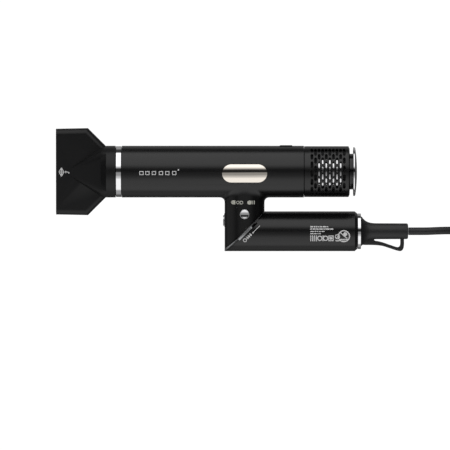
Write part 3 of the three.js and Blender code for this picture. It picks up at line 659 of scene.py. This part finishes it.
def tail_sleeve():
    mesh = bmesh.new()
    corners = {}

    def vertex(x, degree):
        key = (round(x, 4), round(degree % 360, 4))
        if key not in corners:
            a = radians(degree)
            corners[key] = mesh.verts.new(
                place(x, BARREL_Y + TAIL_RADIUS * sin(a), TAIL_RADIUS * cos(a)))
        return corners[key]

    def plain(x_from, x_to, from_degree, steps):
        for k in range(steps):
            a, b = from_degree + k * STEP, from_degree + (k + 1) * STEP
            mesh.faces.new((vertex(x_from, a), vertex(x_to, a), vertex(x_to, b),
                            vertex(x_from, b)))

    def cell(x, from_degree, steps):
        """One tile of the sleeve with a long opening in it, pointed at both ends."""
        left, right = x - CELL_PITCH / 2, x + CELL_PITCH / 2
        middle = from_degree + steps * STEP / 2
        per_mm = degrees(1 / TAIL_RADIUS)
        half = steps * STEP / 2 - WEB / 2 * per_mm
        cap = CELL_HALF_WIDTH * per_mm
        rim, hole = [], []
        for k in range(steps + 1):
            share = 2 * k / steps - 1
            rim.append((right, from_degree + k * STEP))
            hole.append((x + CELL_HALF_WIDTH, middle + share * (half - cap)))
        rim.append((x, from_degree + steps * STEP))
        hole.append((x, middle + half))
        for k in range(steps + 1):
            share = 1 - 2 * k / steps
            rim.append((left, from_degree + (steps - k) * STEP))
            hole.append((x - CELL_HALF_WIDTH, middle + share * (half - cap)))
        rim.append((x, from_degree))
        hole.append((x, middle - half))
        count = len(rim)
        for k in range(count):
            j = (k + 1) % count
            mesh.faces.new((vertex(*rim[k]), vertex(*rim[j]), vertex(*hole[j]),
                            vertex(*hole[k])))

    first_edge = CELL_FIRST - CELL_PITCH / 2
    for column in range(CELL_COLUMNS):
        x = CELL_FIRST + column * CELL_PITCH
        left, right = x - CELL_PITCH / 2, x + CELL_PITCH / 2
        for side_degree in (0, 180):
            start = side_degree + FIELD_START
            for steps in FIELDS[column % 2]:
                cell(x, start, steps)
                start += steps * STEP
            for k in range(PLAIN_STEPS):
                a, b = start + k * STEP, start + (k + 1) * STEP
                mesh.faces.new((vertex(left, a), vertex(x, a), vertex(x, b), vertex(left, b)))
                mesh.faces.new((vertex(x, a), vertex(right, a), vertex(right, b), vertex(x, b)))
    last_edge = CELL_FIRST + (CELL_COLUMNS - 0.5) * CELL_PITCH
    plain(TAIL_START + 0.3, first_edge, 0, ROUND)
    plain(last_edge, TAIL_END - 1, 0, ROUND)
    bmesh.ops.recalc_face_normals(mesh, faces=mesh.faces[:])
    return from_mesh(mesh, "tail")


sleeve = tail_sleeve()
apply_modifier(sleeve, "SOLIDIFY", thickness=TAIL_WALL * mm, offset=-1.0)
wall_edge = TAIL_END - 1.0
wall_back = TAIL_END - 1.5
end_wall = turn([(wall_edge, TAIL_RADIUS), (TAIL_END, 21.4), (TAIL_END, HUB_HOLE),
                 (wall_back, HUB_HOLE), (wall_back, TAIL_INSIDE), (wall_edge, TAIL_INSIDE),
                 (wall_edge, TAIL_RADIUS)], BARREL_Y)
skirt_lip = TAIL_START + 0.3
skirt = turn([(SKIRT_FROM, SKIRT_BORE), (SKIRT_FROM, 21.6), (TAIL_START, 21.6),
              (TAIL_START, 23.3), (skirt_lip, TAIL_RADIUS), (skirt_lip, TAIL_INSIDE),
              (SKIRT_TO, TAIL_INSIDE), (SKIRT_TO, SKIRT_BORE), (SKIRT_FROM, SKIRT_BORE)],
             BARREL_Y)
start_piece()
for each in (skirt, end_wall, sleeve):
    each.select_set(True)
bpy.context.view_layer.objects.active = sleeve
bpy.ops.object.join()
finish_piece(sleeve, "tail_sleeve", soft_black, "filter_cover", "matte_black", "tail_shell")

# ---------------------------------------------------------------------------
# Hub: a gloss black neck between the tail sleeve and the rear cap. It is turned, and the
# sleeve's end wall holds it.
gloss_black = finish("gloss_black", (0.004, 0.004, 0.0045), 0.16, grain=0.002, smear=0.03)
hub = turn([(93.6, 19.6), (95.6, 19.6), (95.6, 16.6), (100.6, 16.6)], BARREL_Y, solid=True)
soften(hub, 0.2, 2)
finish_piece(hub, "tail_hub", gloss_black, "filter_cover", "gloss_black", "rear_hub")

# ---------------------------------------------------------------------------
# Rear cap: a chromed disc with a rounded rim and a slightly domed face. It is turned from one
# profile and sits on the hub.
CAP_RIM = 1.4  # radius of the rounded edge
CAP_FACE = 21.35
CAP_DOME = 1.5
cap_stations = [(100.8, 20.5), (100.8, 22.2), (101.0, 22.65), (101.4, 22.75)]
for k in range(1, 9):
    angle = pi / 2 * k / 8
    cap_stations.append((101.4 + CAP_RIM * sin(angle), CAP_FACE + CAP_RIM * cos(angle)))
for k in range(1, 11):
    radius = CAP_FACE * (1 - k / 10) + 0.4
    bulge = CAP_DOME * (1 - (radius / (CAP_FACE + 0.4)) ** 2)
    cap_stations.append((102.8 + bulge, radius))
rear_cap = turn(cap_stations, BARREL_Y, solid=True)
finish_piece(rear_cap, "end_cap", chrome, "filter_cover", "chrome_trim", "rear_cap", smooth=50)

# ---------------------------------------------------------------------------
# Filter mesh: a thin sleeve close behind the cells. Its colour is painted light: painted glints of
# wire along the middle of each column of cells near the top and bottom, painted shade elsewhere,
# and the black frame at both ends.
FILTER_RADIUS = 20.7
FILTER_WALL = 0.4
# Width of the painted glint along the middle of each column of cells.
GLINT_HALF_WIDTH = 0.65
WINDOW_FROM, WINDOW_TO = 67, 90.6
# Painted shade: further than this from the top and bottom lines, the mesh is painted dark.
GLINT_REACH = 36  # degrees to either side of the top and bottom lines
WIRE_PITCH = 1.1
# The colour of this finish is set below from painted glints and painted shade, not from the wire's
# own tone.
painted_glint_mesh = finish("filter_mesh_painted_glints", (0.72, 0.73, 0.75), 0.2, 1.0, grain=0.01)

filter_piece = turn([(57.1, FILTER_RADIUS), (93.3, FILTER_RADIUS)], BARREL_Y, sides=144)
apply_modifier(filter_piece, "SOLIDIFY", thickness=FILTER_WALL * mm, offset=0.0)
weave_tree = painted_glint_mesh.node_tree
weave_shader = weave_tree.nodes["Principled BSDF"]
weave_at = Value(weave_tree, weave_tree.nodes.new("ShaderNodeTexCoord").outputs["Object"])
weave_split = weave_tree.nodes.new("ShaderNodeSeparateXYZ")
weave_tree.links.new(weave_at.socket, weave_split.inputs[0])
along_barrel = (Value(weave_tree, weave_split.outputs["X"]) - fold.x) / mm
from_column = along_barrel.maths("PINGPONG", (along_barrel - CELL_FIRST) / CELL_PITCH, 0.5)
# Painted glint: bright only in a narrow band along the middle of each column of cells.
glint_hoop = from_column * CELL_PITCH < GLINT_HALF_WIDTH
turned_by = weave_at.maths(
    "ARCTAN2", Value(weave_tree, weave_split.outputs["Y"]) - (fold.y + BARREL_Y * mm),
    Value(weave_tree, weave_split.outputs["Z"]) - fold.z)
from_top = weave_at.maths("PINGPONG", turned_by, pi / 2)
# Where glints are painted: between the black frame ends, and only near the top and bottom lines.
# The dark past that band is painted shade.
glint_window = ((along_barrel > WINDOW_FROM) * (along_barrel < WINDOW_TO)
          * (from_top < radians(GLINT_REACH)))
wire = weave_at.maths("PINGPONG", turned_by * (TAIL_RADIUS / WIRE_PITCH), 0.5)
# Painted glints over painted shade: wire stripes are lit inside the band and near-black elsewhere.
painted_glints = glint_hoop * glint_window * (wire * 1.2 + 0.5)
painted_glint_colour = weave_at.node(
    "ShaderNodeMix", {"data_type": "RGBA"},
    {0: painted_glints, 6: (0.006, 0.006, 0.007, 1), 7: (0.85, 0.85, 0.86, 1)}, 2)
weave_tree.links.new(painted_glint_colour.socket, weave_shader.inputs["Base Color"])
weave_tree.links.new((glint_hoop * glint_window).socket, weave_shader.inputs["Metallic"])
weave_tree.links.new((0.9 - glint_hoop * glint_window * 0.75).socket, weave_shader.inputs["Roughness"])
finish_piece(filter_piece, "filter_sleeve", painted_glint_mesh, "filter_cover", "steel_mesh",
             "filter_mesh")

# ---------------------------------------------------------------------------
# Handle casing: a plain soft-touch tube with a chamfered end. It is turned longer than it
# needs to be, cut off at 45 degrees by the fold joint, and notched for the thumb bar.
HANDLE_END = 104.6
HANDLE_RADIUS = 18.5
HANDLE_BORE = 16.1
HANDLE_RING_END = 0.85
JOINT_GAP = 0.15
BAR_NOTCH = (-0.2, 2.05)  # across the joint
handle = turn([(-40, HANDLE_BORE), (-40, HANDLE_RADIUS), (102.2, HANDLE_RADIUS),
               (HANDLE_END, 16.6), (HANDLE_END, HANDLE_BORE), (-40, HANDLE_BORE)], 0)
carve(handle, joint_block(HANDLE_RING_END + 0.3, -160, *WHOLE_SIDE))
carve(handle, joint_block(*BAR_NOTCH, -8.7, 8.9, 13.9, 40))
carve(handle, joint_block(-0.2, 2.5, 8.5, 14.5, 13.9, 40))
finish_piece(handle, "handle_casing", soft_black, "handle", "matte_black", "handle_shell")

# ---------------------------------------------------------------------------
# Handle ring: the same kind of turned ring in polished chrome. It is pressed on between the
# handle's end and its boot.
HANDLE_RING = (104.9, 108.0, 13.2, 16.5)  # from, to, inner radius, outer radius
end_ring = turned_ring(*HANDLE_RING, 0)
finish_piece(end_ring, "handle_ring", chrome, "handle", "chrome_trim", "handle_end_ring")

# ---------------------------------------------------------------------------
# Fold joint: a gloss black ring on each side of the cut, a thin steel trim between them that
# widens towards the low end, and a ribbed thumb bar that slides along the cut to free it.
PIVOT_BORE = 7.6
BAR_RADIUS = 18.7
RIBS = 15
RIB_PITCH = 1.1
GROOVE_HALF_WIDTH = 0.22
TRIM_WIDTH = 0.55
TRIM_WIDENS_FROM = -8.0
TRIM_SLOPE = 0.075
satin_steel = finish("satin_steel", (0.5, 0.51, 0.52), 0.3, 1.0, grain=0.004, grain_size=0.3,
                     drift=0.1, stretch=(1, 1, 0.08))
trim_steel = finish("brushed_joint_trim", (0.6, 0.61, 0.62), 0.33, 1.0, grain=0.001, drift=0.1,
                    smear=0.03)


def trim_blank(reach):
    """An upright bar whose plan is the trim's: narrow at the top, wide at the low end."""
    outline = [(-JOINT_GAP, -reach), (-JOINT_GAP, reach), (-TRIM_WIDTH, reach),
               (-TRIM_WIDTH, TRIM_WIDENS_FROM),
               (-TRIM_WIDTH - TRIM_SLOPE * (reach + TRIM_WIDENS_FROM), -reach)]
    blank = prism([Vector((d, u, -reach)) * mm for d, u in outline], 2 * reach, "trim")
    blank.data.transform(TO_JOINT)
    return blank


def pivot_hole():
    """A round hole square to the cut, for the hinge to pass through."""
    hole = turn([(-20, PIVOT_BORE), (20, PIVOT_BORE)], 0, sides=48, solid=True)
    hole.data.transform(TO_JOINT @ Matrix.Translation(-fold))
    return hole


trim = post(0, 0, -40, 40, NECK_RADIUS + 0.05, 160, "Y")
carve(trim, trim_blank(60), "INTERSECT")
carve(trim, post(0, 0, -50, 50, NECK_RADIUS - 2.5, 96, "Y"))
finish_piece(trim, "joint_trim", trim_steel, "barrel", "satin_steel")

neck_ring = post(0, 0, -40, 40, NECK_RADIUS, 160, "Y")
carve(neck_ring, joint_block(-JOINT_GAP, 100, *WHOLE_SIDE))
carve(neck_ring, joint_block(-NECK_RING_END, 30, *WHOLE_SIDE), "INTERSECT")
carve(neck_ring, pivot_hole())
finish_piece(neck_ring, "neck_joint_ring", gloss_black, "barrel", "gloss_black",
             "hinge_ring_neck")

grip_ring = turn([(-40, NECK_RADIUS + 0.02), (40, NECK_RADIUS + 0.02)], 0, sides=160, solid=True)
carve(grip_ring, joint_block(JOINT_GAP, -100, *WHOLE_SIDE))
carve(grip_ring, joint_block(HANDLE_RING_END, -30, *WHOLE_SIDE), "INTERSECT")
carve(grip_ring, pivot_hole())
carve(grip_ring, joint_block(*BAR_NOTCH, -8.7, 12.9, 13.9, 40))
finish_piece(grip_ring, "handle_joint_ring", gloss_black, "handle", "satin_steel",
             "hinge_ring_handle")

thumb_bar = turn([(-20, BAR_RADIUS), (20, BAR_RADIUS)], 0, sides=160, solid=True)
carve(thumb_bar, joint_block(JOINT_GAP, 1.75, -8.4, 8.4, 14.2, 30), "INTERSECT")
for rib in range(RIBS):
    along = (rib - (RIBS - 1) / 2) * RIB_PITCH
    groove_floor = 18.0 - along ** 2 / 110
    carve(thumb_bar, joint_block(-1, 3, along - GROOVE_HALF_WIDTH, along + GROOVE_HALF_WIDTH,
                                 groove_floor, 30))
finish_piece(thumb_bar, "fold_thumb_bar", satin_steel, "fold_latch", "satin_steel",
             "fold_latch")

# ---------------------------------------------------------------------------
# Controls: a dished chrome button on top of the neck, and two chrome keys in an oblong black
# frame at its side. The filter's catch is a small black pad on the barrel.
BUTTON_RADIUS = 4.4
BUTTON_TOP = 18.85
DISH_RADIUS = 12
DISH_DEPTH = 0.75
FRAME_OUTSIDE = (-18.9, -16.9, 3.9, 17.0, -3.6, 3.6)
FRAME_OPENING = (-25, -10, 4.4, 15.5, -2.9, 2.9)
CATCH_TOP = 24.6
CATCH_FOOT = 21.8
mode_profile = post(0, BUTTON_Y, 12.5, BUTTON_TOP, BUTTON_RADIUS, 64)
start_piece()
dish_centre = place(0, BUTTON_Y, BUTTON_TOP + 0.05 - DISH_DEPTH + DISH_RADIUS)
bpy.ops.mesh.primitive_uv_sphere_add(segments=96, ring_count=64, radius=DISH_RADIUS * mm,
                                     location=dish_centre)
carve(mode_profile, bpy.context.object)
soften(mode_profile, 0.25, 3, 50)
finish_piece(mode_profile, "mode_key", chrome, "mode_button", "chrome_trim", "mode_button")

bezel = block(*FRAME_OUTSIDE)
soften(bezel, 1.1, 5)
carve(bezel, block(*FRAME_OPENING))
finish_piece(bezel, "key_frame", gloss_black, "barrel", "gloss_black", "control_bezel")
for key_name, node_name, low, high in (("power_key", "power_button", 4.9, 11.9),
                                       ("cool_key", "cool_button", 12.7, 15.0)):
    key = block(-20, -16.2, low, high, -2.6, 2.6)
    soften(key, 1.0, 6)
    finish_piece(key, key_name, chrome, node_name, "chrome_trim", node_name)

catch = turn([(32.8, CATCH_FOOT), (32.8, CATCH_TOP), (44.2, CATCH_TOP), (44.2, CATCH_FOOT),
              (32.8, CATCH_FOOT)], BARREL_Y, sides=160)
carve(catch, block(30, 47, BARREL_Y, BARREL_Y + 40, -4, 4), "INTERSECT")
soften(catch, 0.5, 4, 60)
finish_piece(catch, "filter_catch", soft_black, "filter_latch", "matte_black", "filter_latch")

# ---------------------------------------------------------------------------
# Printed marks: plain strokes, rings and dots in pale ink on the nozzle, barrel, neck and
# handle. They stand in for lettering and approval marks, which are left out.
INK_LIFT = 0.03
INK_THICKNESS = 0.05
INK_STEP = 0.8  # longest straight piece of a bar on a round surface
DOT_SIDES = 28
print_grey = finish("printed_grey", (0.62, 0.62, 0.55), 0.5, grain=0.003, drift=0.08)
print_white = finish("printed_white", (0.82, 0.82, 0.82), 0.5, grain=0.003, drift=0.08)


def printed(name, marks, height, body, material):
    """Lays thin ink on a surface whose height above the joint is a function of x and y."""
    mesh = bmesh.new()

    def lift(x, y):
        return mesh.verts.new(place(x, y, height(x, y) + INK_LIFT))

    for kind, *sizes in marks:
        if kind == "bar":
            x1, y1, x2, y2, width = sizes
            length = hypot(x2 - x1, y2 - y1)
            across_x, across_y = (y1 - y2) / length * width / 2, (x2 - x1) / length * width / 2
            pieces = max(1, round(length / INK_STEP))
            rows = []
            for k in range(pieces + 1):
                x, y = x1 + (x2 - x1) * k / pieces, y1 + (y2 - y1) * k / pieces
                rows.append([lift(x + across_x * t, y + across_y * t) for t in (-1, 0, 1)])
            for here, there in zip(rows, rows[1:]):
                mesh.faces.new((here[0], there[0], there[1], here[1]))
                mesh.faces.new((here[1], there[1], there[2], here[2]))
        else:
            x, y, radius = sizes[:3]
            inner = radius - sizes[3] if kind == "ring" else radius * 0.02
            angles = [2 * pi * k / DOT_SIDES for k in range(DOT_SIDES)]
            loops = [[lift(x + r * cos(a), y + r * sin(a)) for a in angles]
                     for r in (inner, radius)]
            for k in range(DOT_SIDES):
                j = (k + 1) % DOT_SIDES
                mesh.faces.new((loops[0][k], loops[1][k], loops[1][j], loops[0][j]))
            if kind == "dot":
                mesh.faces.new(loops[0])
    piece = from_mesh(mesh, name)
    apply_modifier(piece, "SOLIDIFY", thickness=INK_THICKNESS * mm, offset=0.0)
    return finish_piece(piece, name, material, body, "white_plastic")


def dashes(x, y, lengths, width, gap=0.55):
    """A row of short bars in place of a line of print."""
    marks = []
    for length in lengths:
        marks.append(("bar", x, y, x + length, y, width))
        x += length + gap
    return marks


def on_barrel(x, y):
    return sqrt(BARREL_RADIUS ** 2 - (y - BARREL_Y) ** 2)


def on_neck(x, y):
    return sqrt(NECK_RADIUS ** 2 - x ** 2)


def on_handle(x, y):
    return sqrt(HANDLE_RADIUS ** 2 - y ** 2)


def on_blade(x, y):
    return 7.0


tip_marks = []
for bend_x, bend_y in ((-2.3, 0), (2.1, 0)):
    for point_y in (4.1, -4.1):
        tip_marks.append(("bar", -169.7 + bend_x, 55.6 + bend_y, -169.7, 55.6 + point_y, 0.7))
tip_marks += [("bar", -169.7, 52.8, -169.7, 58.4, 0.8), ("bar", -171, 55.6, -168.4, 55.6, 0.7),
              ("bar", -166.8, 55.6, -163.6, 55.6, 0.7), ("dot", -165.9, 55.6, 1.0),
              ("dot", -162.9, 54.9, 0.6)]
printed("tip_mark", tip_marks, on_blade, "nozzle", print_white)

barrel_marks = [("dot", -61.3, 58.8, 0.75)]
for x in (-95.4, -89.9, -83.9, -77.4, -71.5, -65.1):
    for side in (-1.6, 1.6):
        barrel_marks.append(("bar", x + side, 54.1, x + side, 57.7, 0.6))
    for y in (57.4, 54.4):
        barrel_marks.append(("bar", x - 1.3, y, x + 1.3, y, 0.6))
printed("barrel_mark", barrel_marks, on_barrel, "barrel", print_white)

neck_marks = [("dot", -10.6, 28.1, 1.9), ("bar", -10.6, 28.1, -8.6, 28.1, 3.6),
              ("ring", -6.3, 28.1, 1.5, 0.5), ("bar", -4.2, 26.6, -4.2, 29.6, 0.7),
              ("ring", -2.9, 28.1, 1.6, 0.6), ("dot", 4.4, 28.1, 1.9),
              ("bar", 4.4, 28.1, 6.4, 28.1, 3.4), ("bar", 7.4, 26.4, 7.4, 29.7, 0.6),
              ("bar", 9.0, 26.4, 9.0, 29.9, 0.8)]
printed("neck_mark", neck_marks, on_neck, "barrel", print_grey)

fold_marks = [("ring", 0.3, -7.0, 1.75, 0.6), ("dot", 7.7, 0.1, 0.65),
              ("bar", 7.7, 0.1, 14.2, 6.6, 0.5)]
for along in (0, 1.5, 3.0):
    x, y = 2.6 + along, -4.7 + along
    fold_marks.append(("bar", x - 1.0, y + 1.0, x + 1.0, y - 1.0, 0.8))
fold_marks.append(("bar", 2.0, -5.5, 6.3, -1.2, 0.7))
printed("fold_mark", fold_marks, on_handle, "handle", print_white)

handle_marks = dashes(60.8, 5.6, (2.6, 1.7, 1.4, 1.0, 2.2, 3.3, 1.2), 1.15)
handle_marks += dashes(60.8, 3.5, (1.6, 2.9, 2.2, 3.4, 1.2, 3.9, 2.9), 1.15)
handle_marks += dashes(60.8, 1.3, (3.4, 1.6, 1.2, 1.9, 2.9), 0.9)
handle_marks += dashes(60.8, -0.8, (2.9, 2.6, 1.0, 1.6), 0.9)
for x, width in ((61.3, 0.8), (63.1, 0.9), (64.7, 0.8), (66.4, 0.9), (72.6, 0.8)):
    handle_marks.append(("bar", x, -7.9, x, -2.4, width))
handle_marks += [("ring", 69.6, -5.1, 2.5, 0.9), ("ring", 75.0, -5.1, 2.5, 0.9),
                 ("bar", 77.6, -2.9, 82.4, -2.9, 0.8), ("bar", 77.6, -7.4, 82.4, -7.4, 0.8),
                 ("bar", 78.0, -7.4, 78.0, -2.9, 0.8), ("bar", 82.0, -7.4, 82.0, -2.9, 0.8),
                 ("dot", 80.0, -5.1, 1.3), ("bar", 84.2, -7.5, 88.0, -7.5, 0.9),
                 ("ring", 86.0, -3.6, 2.3, 0.7), ("bar", 84.6, -6.0, 87.6, -1.4, 0.6),
                 ("ring", 92.0, -3.2, 5.7, 1.0), ("bar", 88.3, -6.2, 95.7, -6.2, 0.9),
                 ("bar", 89.4, -7.8, 94.6, -7.8, 0.9), ("dot", 93.2, -1.2, 1.8),
                 ("bar", 88.2, 0.6, 95.0, -5.2, 0.9)]
printed("handle_mark", handle_marks, on_handle, "handle", print_white)

# ---------------------------------------------------------------------------
# Inner pieces: the heater, fan, motor, boards and screws keep their own shapes under new
# finishes, with the outlet, the handle's end cap and the light on the neck.
brass = finish("brass", (0.62, 0.46, 0.18), 0.28, 1.0, grain=0.004)
mica = finish("mica", (0.5, 0.44, 0.31), 0.55, grain=0.03, drift=0.3)
board_green = finish("circuit_board", (0.015, 0.11, 0.045), 0.35, grain=0.01, coat=0.4)
white_plastic = finish("white_plastic", (0.75, 0.75, 0.71), 0.4, grain=0.005)
light_pipe = finish("light_pipe", (0.02, 0.024, 0.026), 0.2, grain=0.002)

NODE_FINISHES = {
    soft_black: ["outlet_spigot", "outlet_grille", "fan_shroud", "handle_end_cap", "clamp_base",
                 "cord_clamp"],
    gloss_black: ["impeller", "capacitor", "relay"],
    rubber_black: ["inner_lead"],
    satin_steel: ["heater_coil", "motor_can", "nozzle_snap_ring", "hinge_hub", "hinge_plate",
                  "hinge_washer", "clamp_screw_left", "clamp_screw_right"],
    brass: ["hinge_nut", "choke"],
    mica: ["heater_sleeve", "heater_frame"],
    board_green: ["button_board", "control_board"],
    white_plastic: ["thermal_fuse", "ion_emitter", "power_switch_block"],
    light_pipe: ["status_light"],
}
for material, names in NODE_FINISHES.items():
    for node_name in names:
        node = frame["nodes"][node_name]
        node.data.materials.clear()
        node.data.materials.append(material)

# ---------------------------------------------------------------------------
# Strain relief: a moulded rubber boot with a concave taper and a flat hanging loop. Its foot
# sits inside the end of the handle, and the lead comes out of its thin end.
TAPER_FROM = 108.6
TAPER_LENGTH = 19.0
WIDE_RADIUS = 13.8
THIN_RADIUS = 7.4
TAPER_STEPS = 14
LOOP_HALF_THICKNESS = 2.0
boot_stations = [(95.4, 10.4), (95.4, 8.0), (108.3, 8.0), (108.3, 13.5),
                 (TAPER_FROM, WIDE_RADIUS)]
for k in range(1, TAPER_STEPS + 1):
    share = k / TAPER_STEPS
    swell = (WIDE_RADIUS - THIN_RADIUS) * (1 - share) ** 4.5
    boot_stations.append((TAPER_FROM + TAPER_LENGTH * share, THIN_RADIUS + swell))
boot_stations += [(150.6, 7.3), (151.4, 6.9), (151.8, 6.0)]
boot = turn(boot_stations, 0, sides=96, solid=True)


def hanging_loop():
    """A flat bail beside the boot, cut from one plate."""
    outer = [(109, -2), (109, -12.6), (112, -12.75), (116, -12.75), (120, -12.8),
             (124, -13.05), (128, -13.6), (131, -14.5), (134, -15.5), (138, -16.85),
             (141, -17.8), (143.5, -18.45), (145.4, -18.4), (146.9, -17.2), (147.8, -15),
             (148.1, -12), (148.1, -2)]
    inner = [(120.5, -8.8), (124, -9.3), (128, -10.3), (131, -11.3), (134, -12.4),
             (138, -13.75), (140.5, -14.6), (142.4, -14.9), (143.8, -14.2), (144.5, -12.6),
             (144.6, -10.5), (144.6, -5), (120.5, -5)]

    def slab(outline, half):
        return prism([place(x, y, -half) for x, y in outline], 2 * half, "loop")

    loop = carve(slab(outer, LOOP_HALF_THICKNESS), slab(inner, 5.0))
    return soften(loop, 0.9, 4, 50)


carve(boot, hanging_loop(), "UNION")
finish_piece(boot, "cord_boot", rubber_black, "handle", "rubber_black", "strain_relief",
             smooth=40)

# ---------------------------------------------------------------------------
# Plug: a two-pin plug moulded in rubber round chromed pins, with a ribbed boot of its own. It
# lies on its flat side next to the coil.
PLUG_Y = 114
PLUG_HEIGHT = -13
PLUG_FLARE = 0.85
PIN_RADIUS = 2.4
RELIEF_RINGS = 6
plug = turn([(217, 9.0), (217.6, 9.6), (232, 9.6), (246, 8.6), (255, 8.0)], PLUG_Y, PLUG_HEIGHT,
            sides=64, solid=True)
for vertex in plug.data.vertices:
    x = (vertex.co.x - fold.x) / mm
    widen = 1 + PLUG_FLARE * max(0, min(1, (248 - x) / 16)) ** 0.7
    vertex.co.y = fold.y + PLUG_Y * mm + (vertex.co.y - fold.y - PLUG_Y * mm) * widen
    vertex.co.z = max(vertex.co.z, 0.0005)
soften(plug, 0.8, 3, 50)
finish_piece(plug, "plug", rubber_black, "handle", "rubber_black", "plug_body", smooth=45)
for pin_name, node_name, offset in (("plug_pin_a", "plug_pin_left", 9.5),
                                    ("plug_pin_b", "plug_pin_right", -9.5)):
    pin = turn([(198, 1.5), (198.4, 2.0), (199.2, PIN_RADIUS), (216.7, PIN_RADIUS)],
               PLUG_Y + offset, PLUG_HEIGHT, sides=40, solid=True)
    finish_piece(pin, pin_name, chrome, "handle", "chrome_trim", node_name)
relief_stations = [(255.3, 7.3)]
for k in range(RELIEF_RINGS):
    x = 257 + 3 * k
    r = 7.2 - 0.4 * k
    relief_stations += [(x, r), (x + 0.2, r - 1.0), (x + 1.0, r - 1.0), (x + 1.2, r - 0.1)]
relief_stations += [(275.6, 5.0), (276, 4.7)]
plug_relief = turn(relief_stations, PLUG_Y, PLUG_HEIGHT, sides=48, solid=True)
finish_piece(plug_relief, "plug_boot", rubber_black, "handle", "rubber_black",
             "plug_strain_relief")

# ---------------------------------------------------------------------------
# Cord tie: a soft strap drawn tight round both layers of the coil, on the side that faces the
# dryer.
TIE_HALF_WIDTH = 5
TIE_THICKNESS = 0.9
TIE_INNER = 3.6  # just over the cord's own radius
ARC_STEPS = 32
tie_corners = ((-30.7, BED_HEIGHT), (-45.1, BED_HEIGHT), (-48.7, TOP_HEIGHT), (-34.3, TOP_HEIGHT))


def tie_blank(radius, half_width, lowest):
    """A solid hull round the coil's section, as wide as the strap."""
    mesh = bmesh.new()
    for x, above in tie_corners:
        for step in range(ARC_STEPS):
            angle = 2 * pi * step / ARC_STEPS
            height = max(above + radius * sin(angle), lowest)
            for y in (-half_width, half_width):
                mesh.verts.new(on_table(COIL_CENTRE[0] + x + radius * cos(angle),
                                        COIL_CENTRE[1] + y, height))
    bmesh.ops.remove_doubles(mesh, verts=mesh.verts[:], dist=0.000001)
    hull = bmesh.ops.convex_hull(mesh, input=mesh.verts[:])
    inside = [v for v in set(hull["geom_interior"]) if isinstance(v, bmesh.types.BMVert)]
    bmesh.ops.delete(mesh, geom=inside, context="VERTS")
    bmesh.ops.recalc_face_normals(mesh, faces=mesh.faces[:])
    return from_mesh(mesh, "tie")


tie = tie_blank(TIE_INNER + TIE_THICKNESS, TIE_HALF_WIDTH, 0)
carve(tie, tie_blank(TIE_INNER, TIE_HALF_WIDTH + 2, 0.1))
finish_piece(tie, "cord_strap", rubber_black, "handle", "rubber_black", "cord_tie", smooth=50)
on_table(152.1, 0, 24)
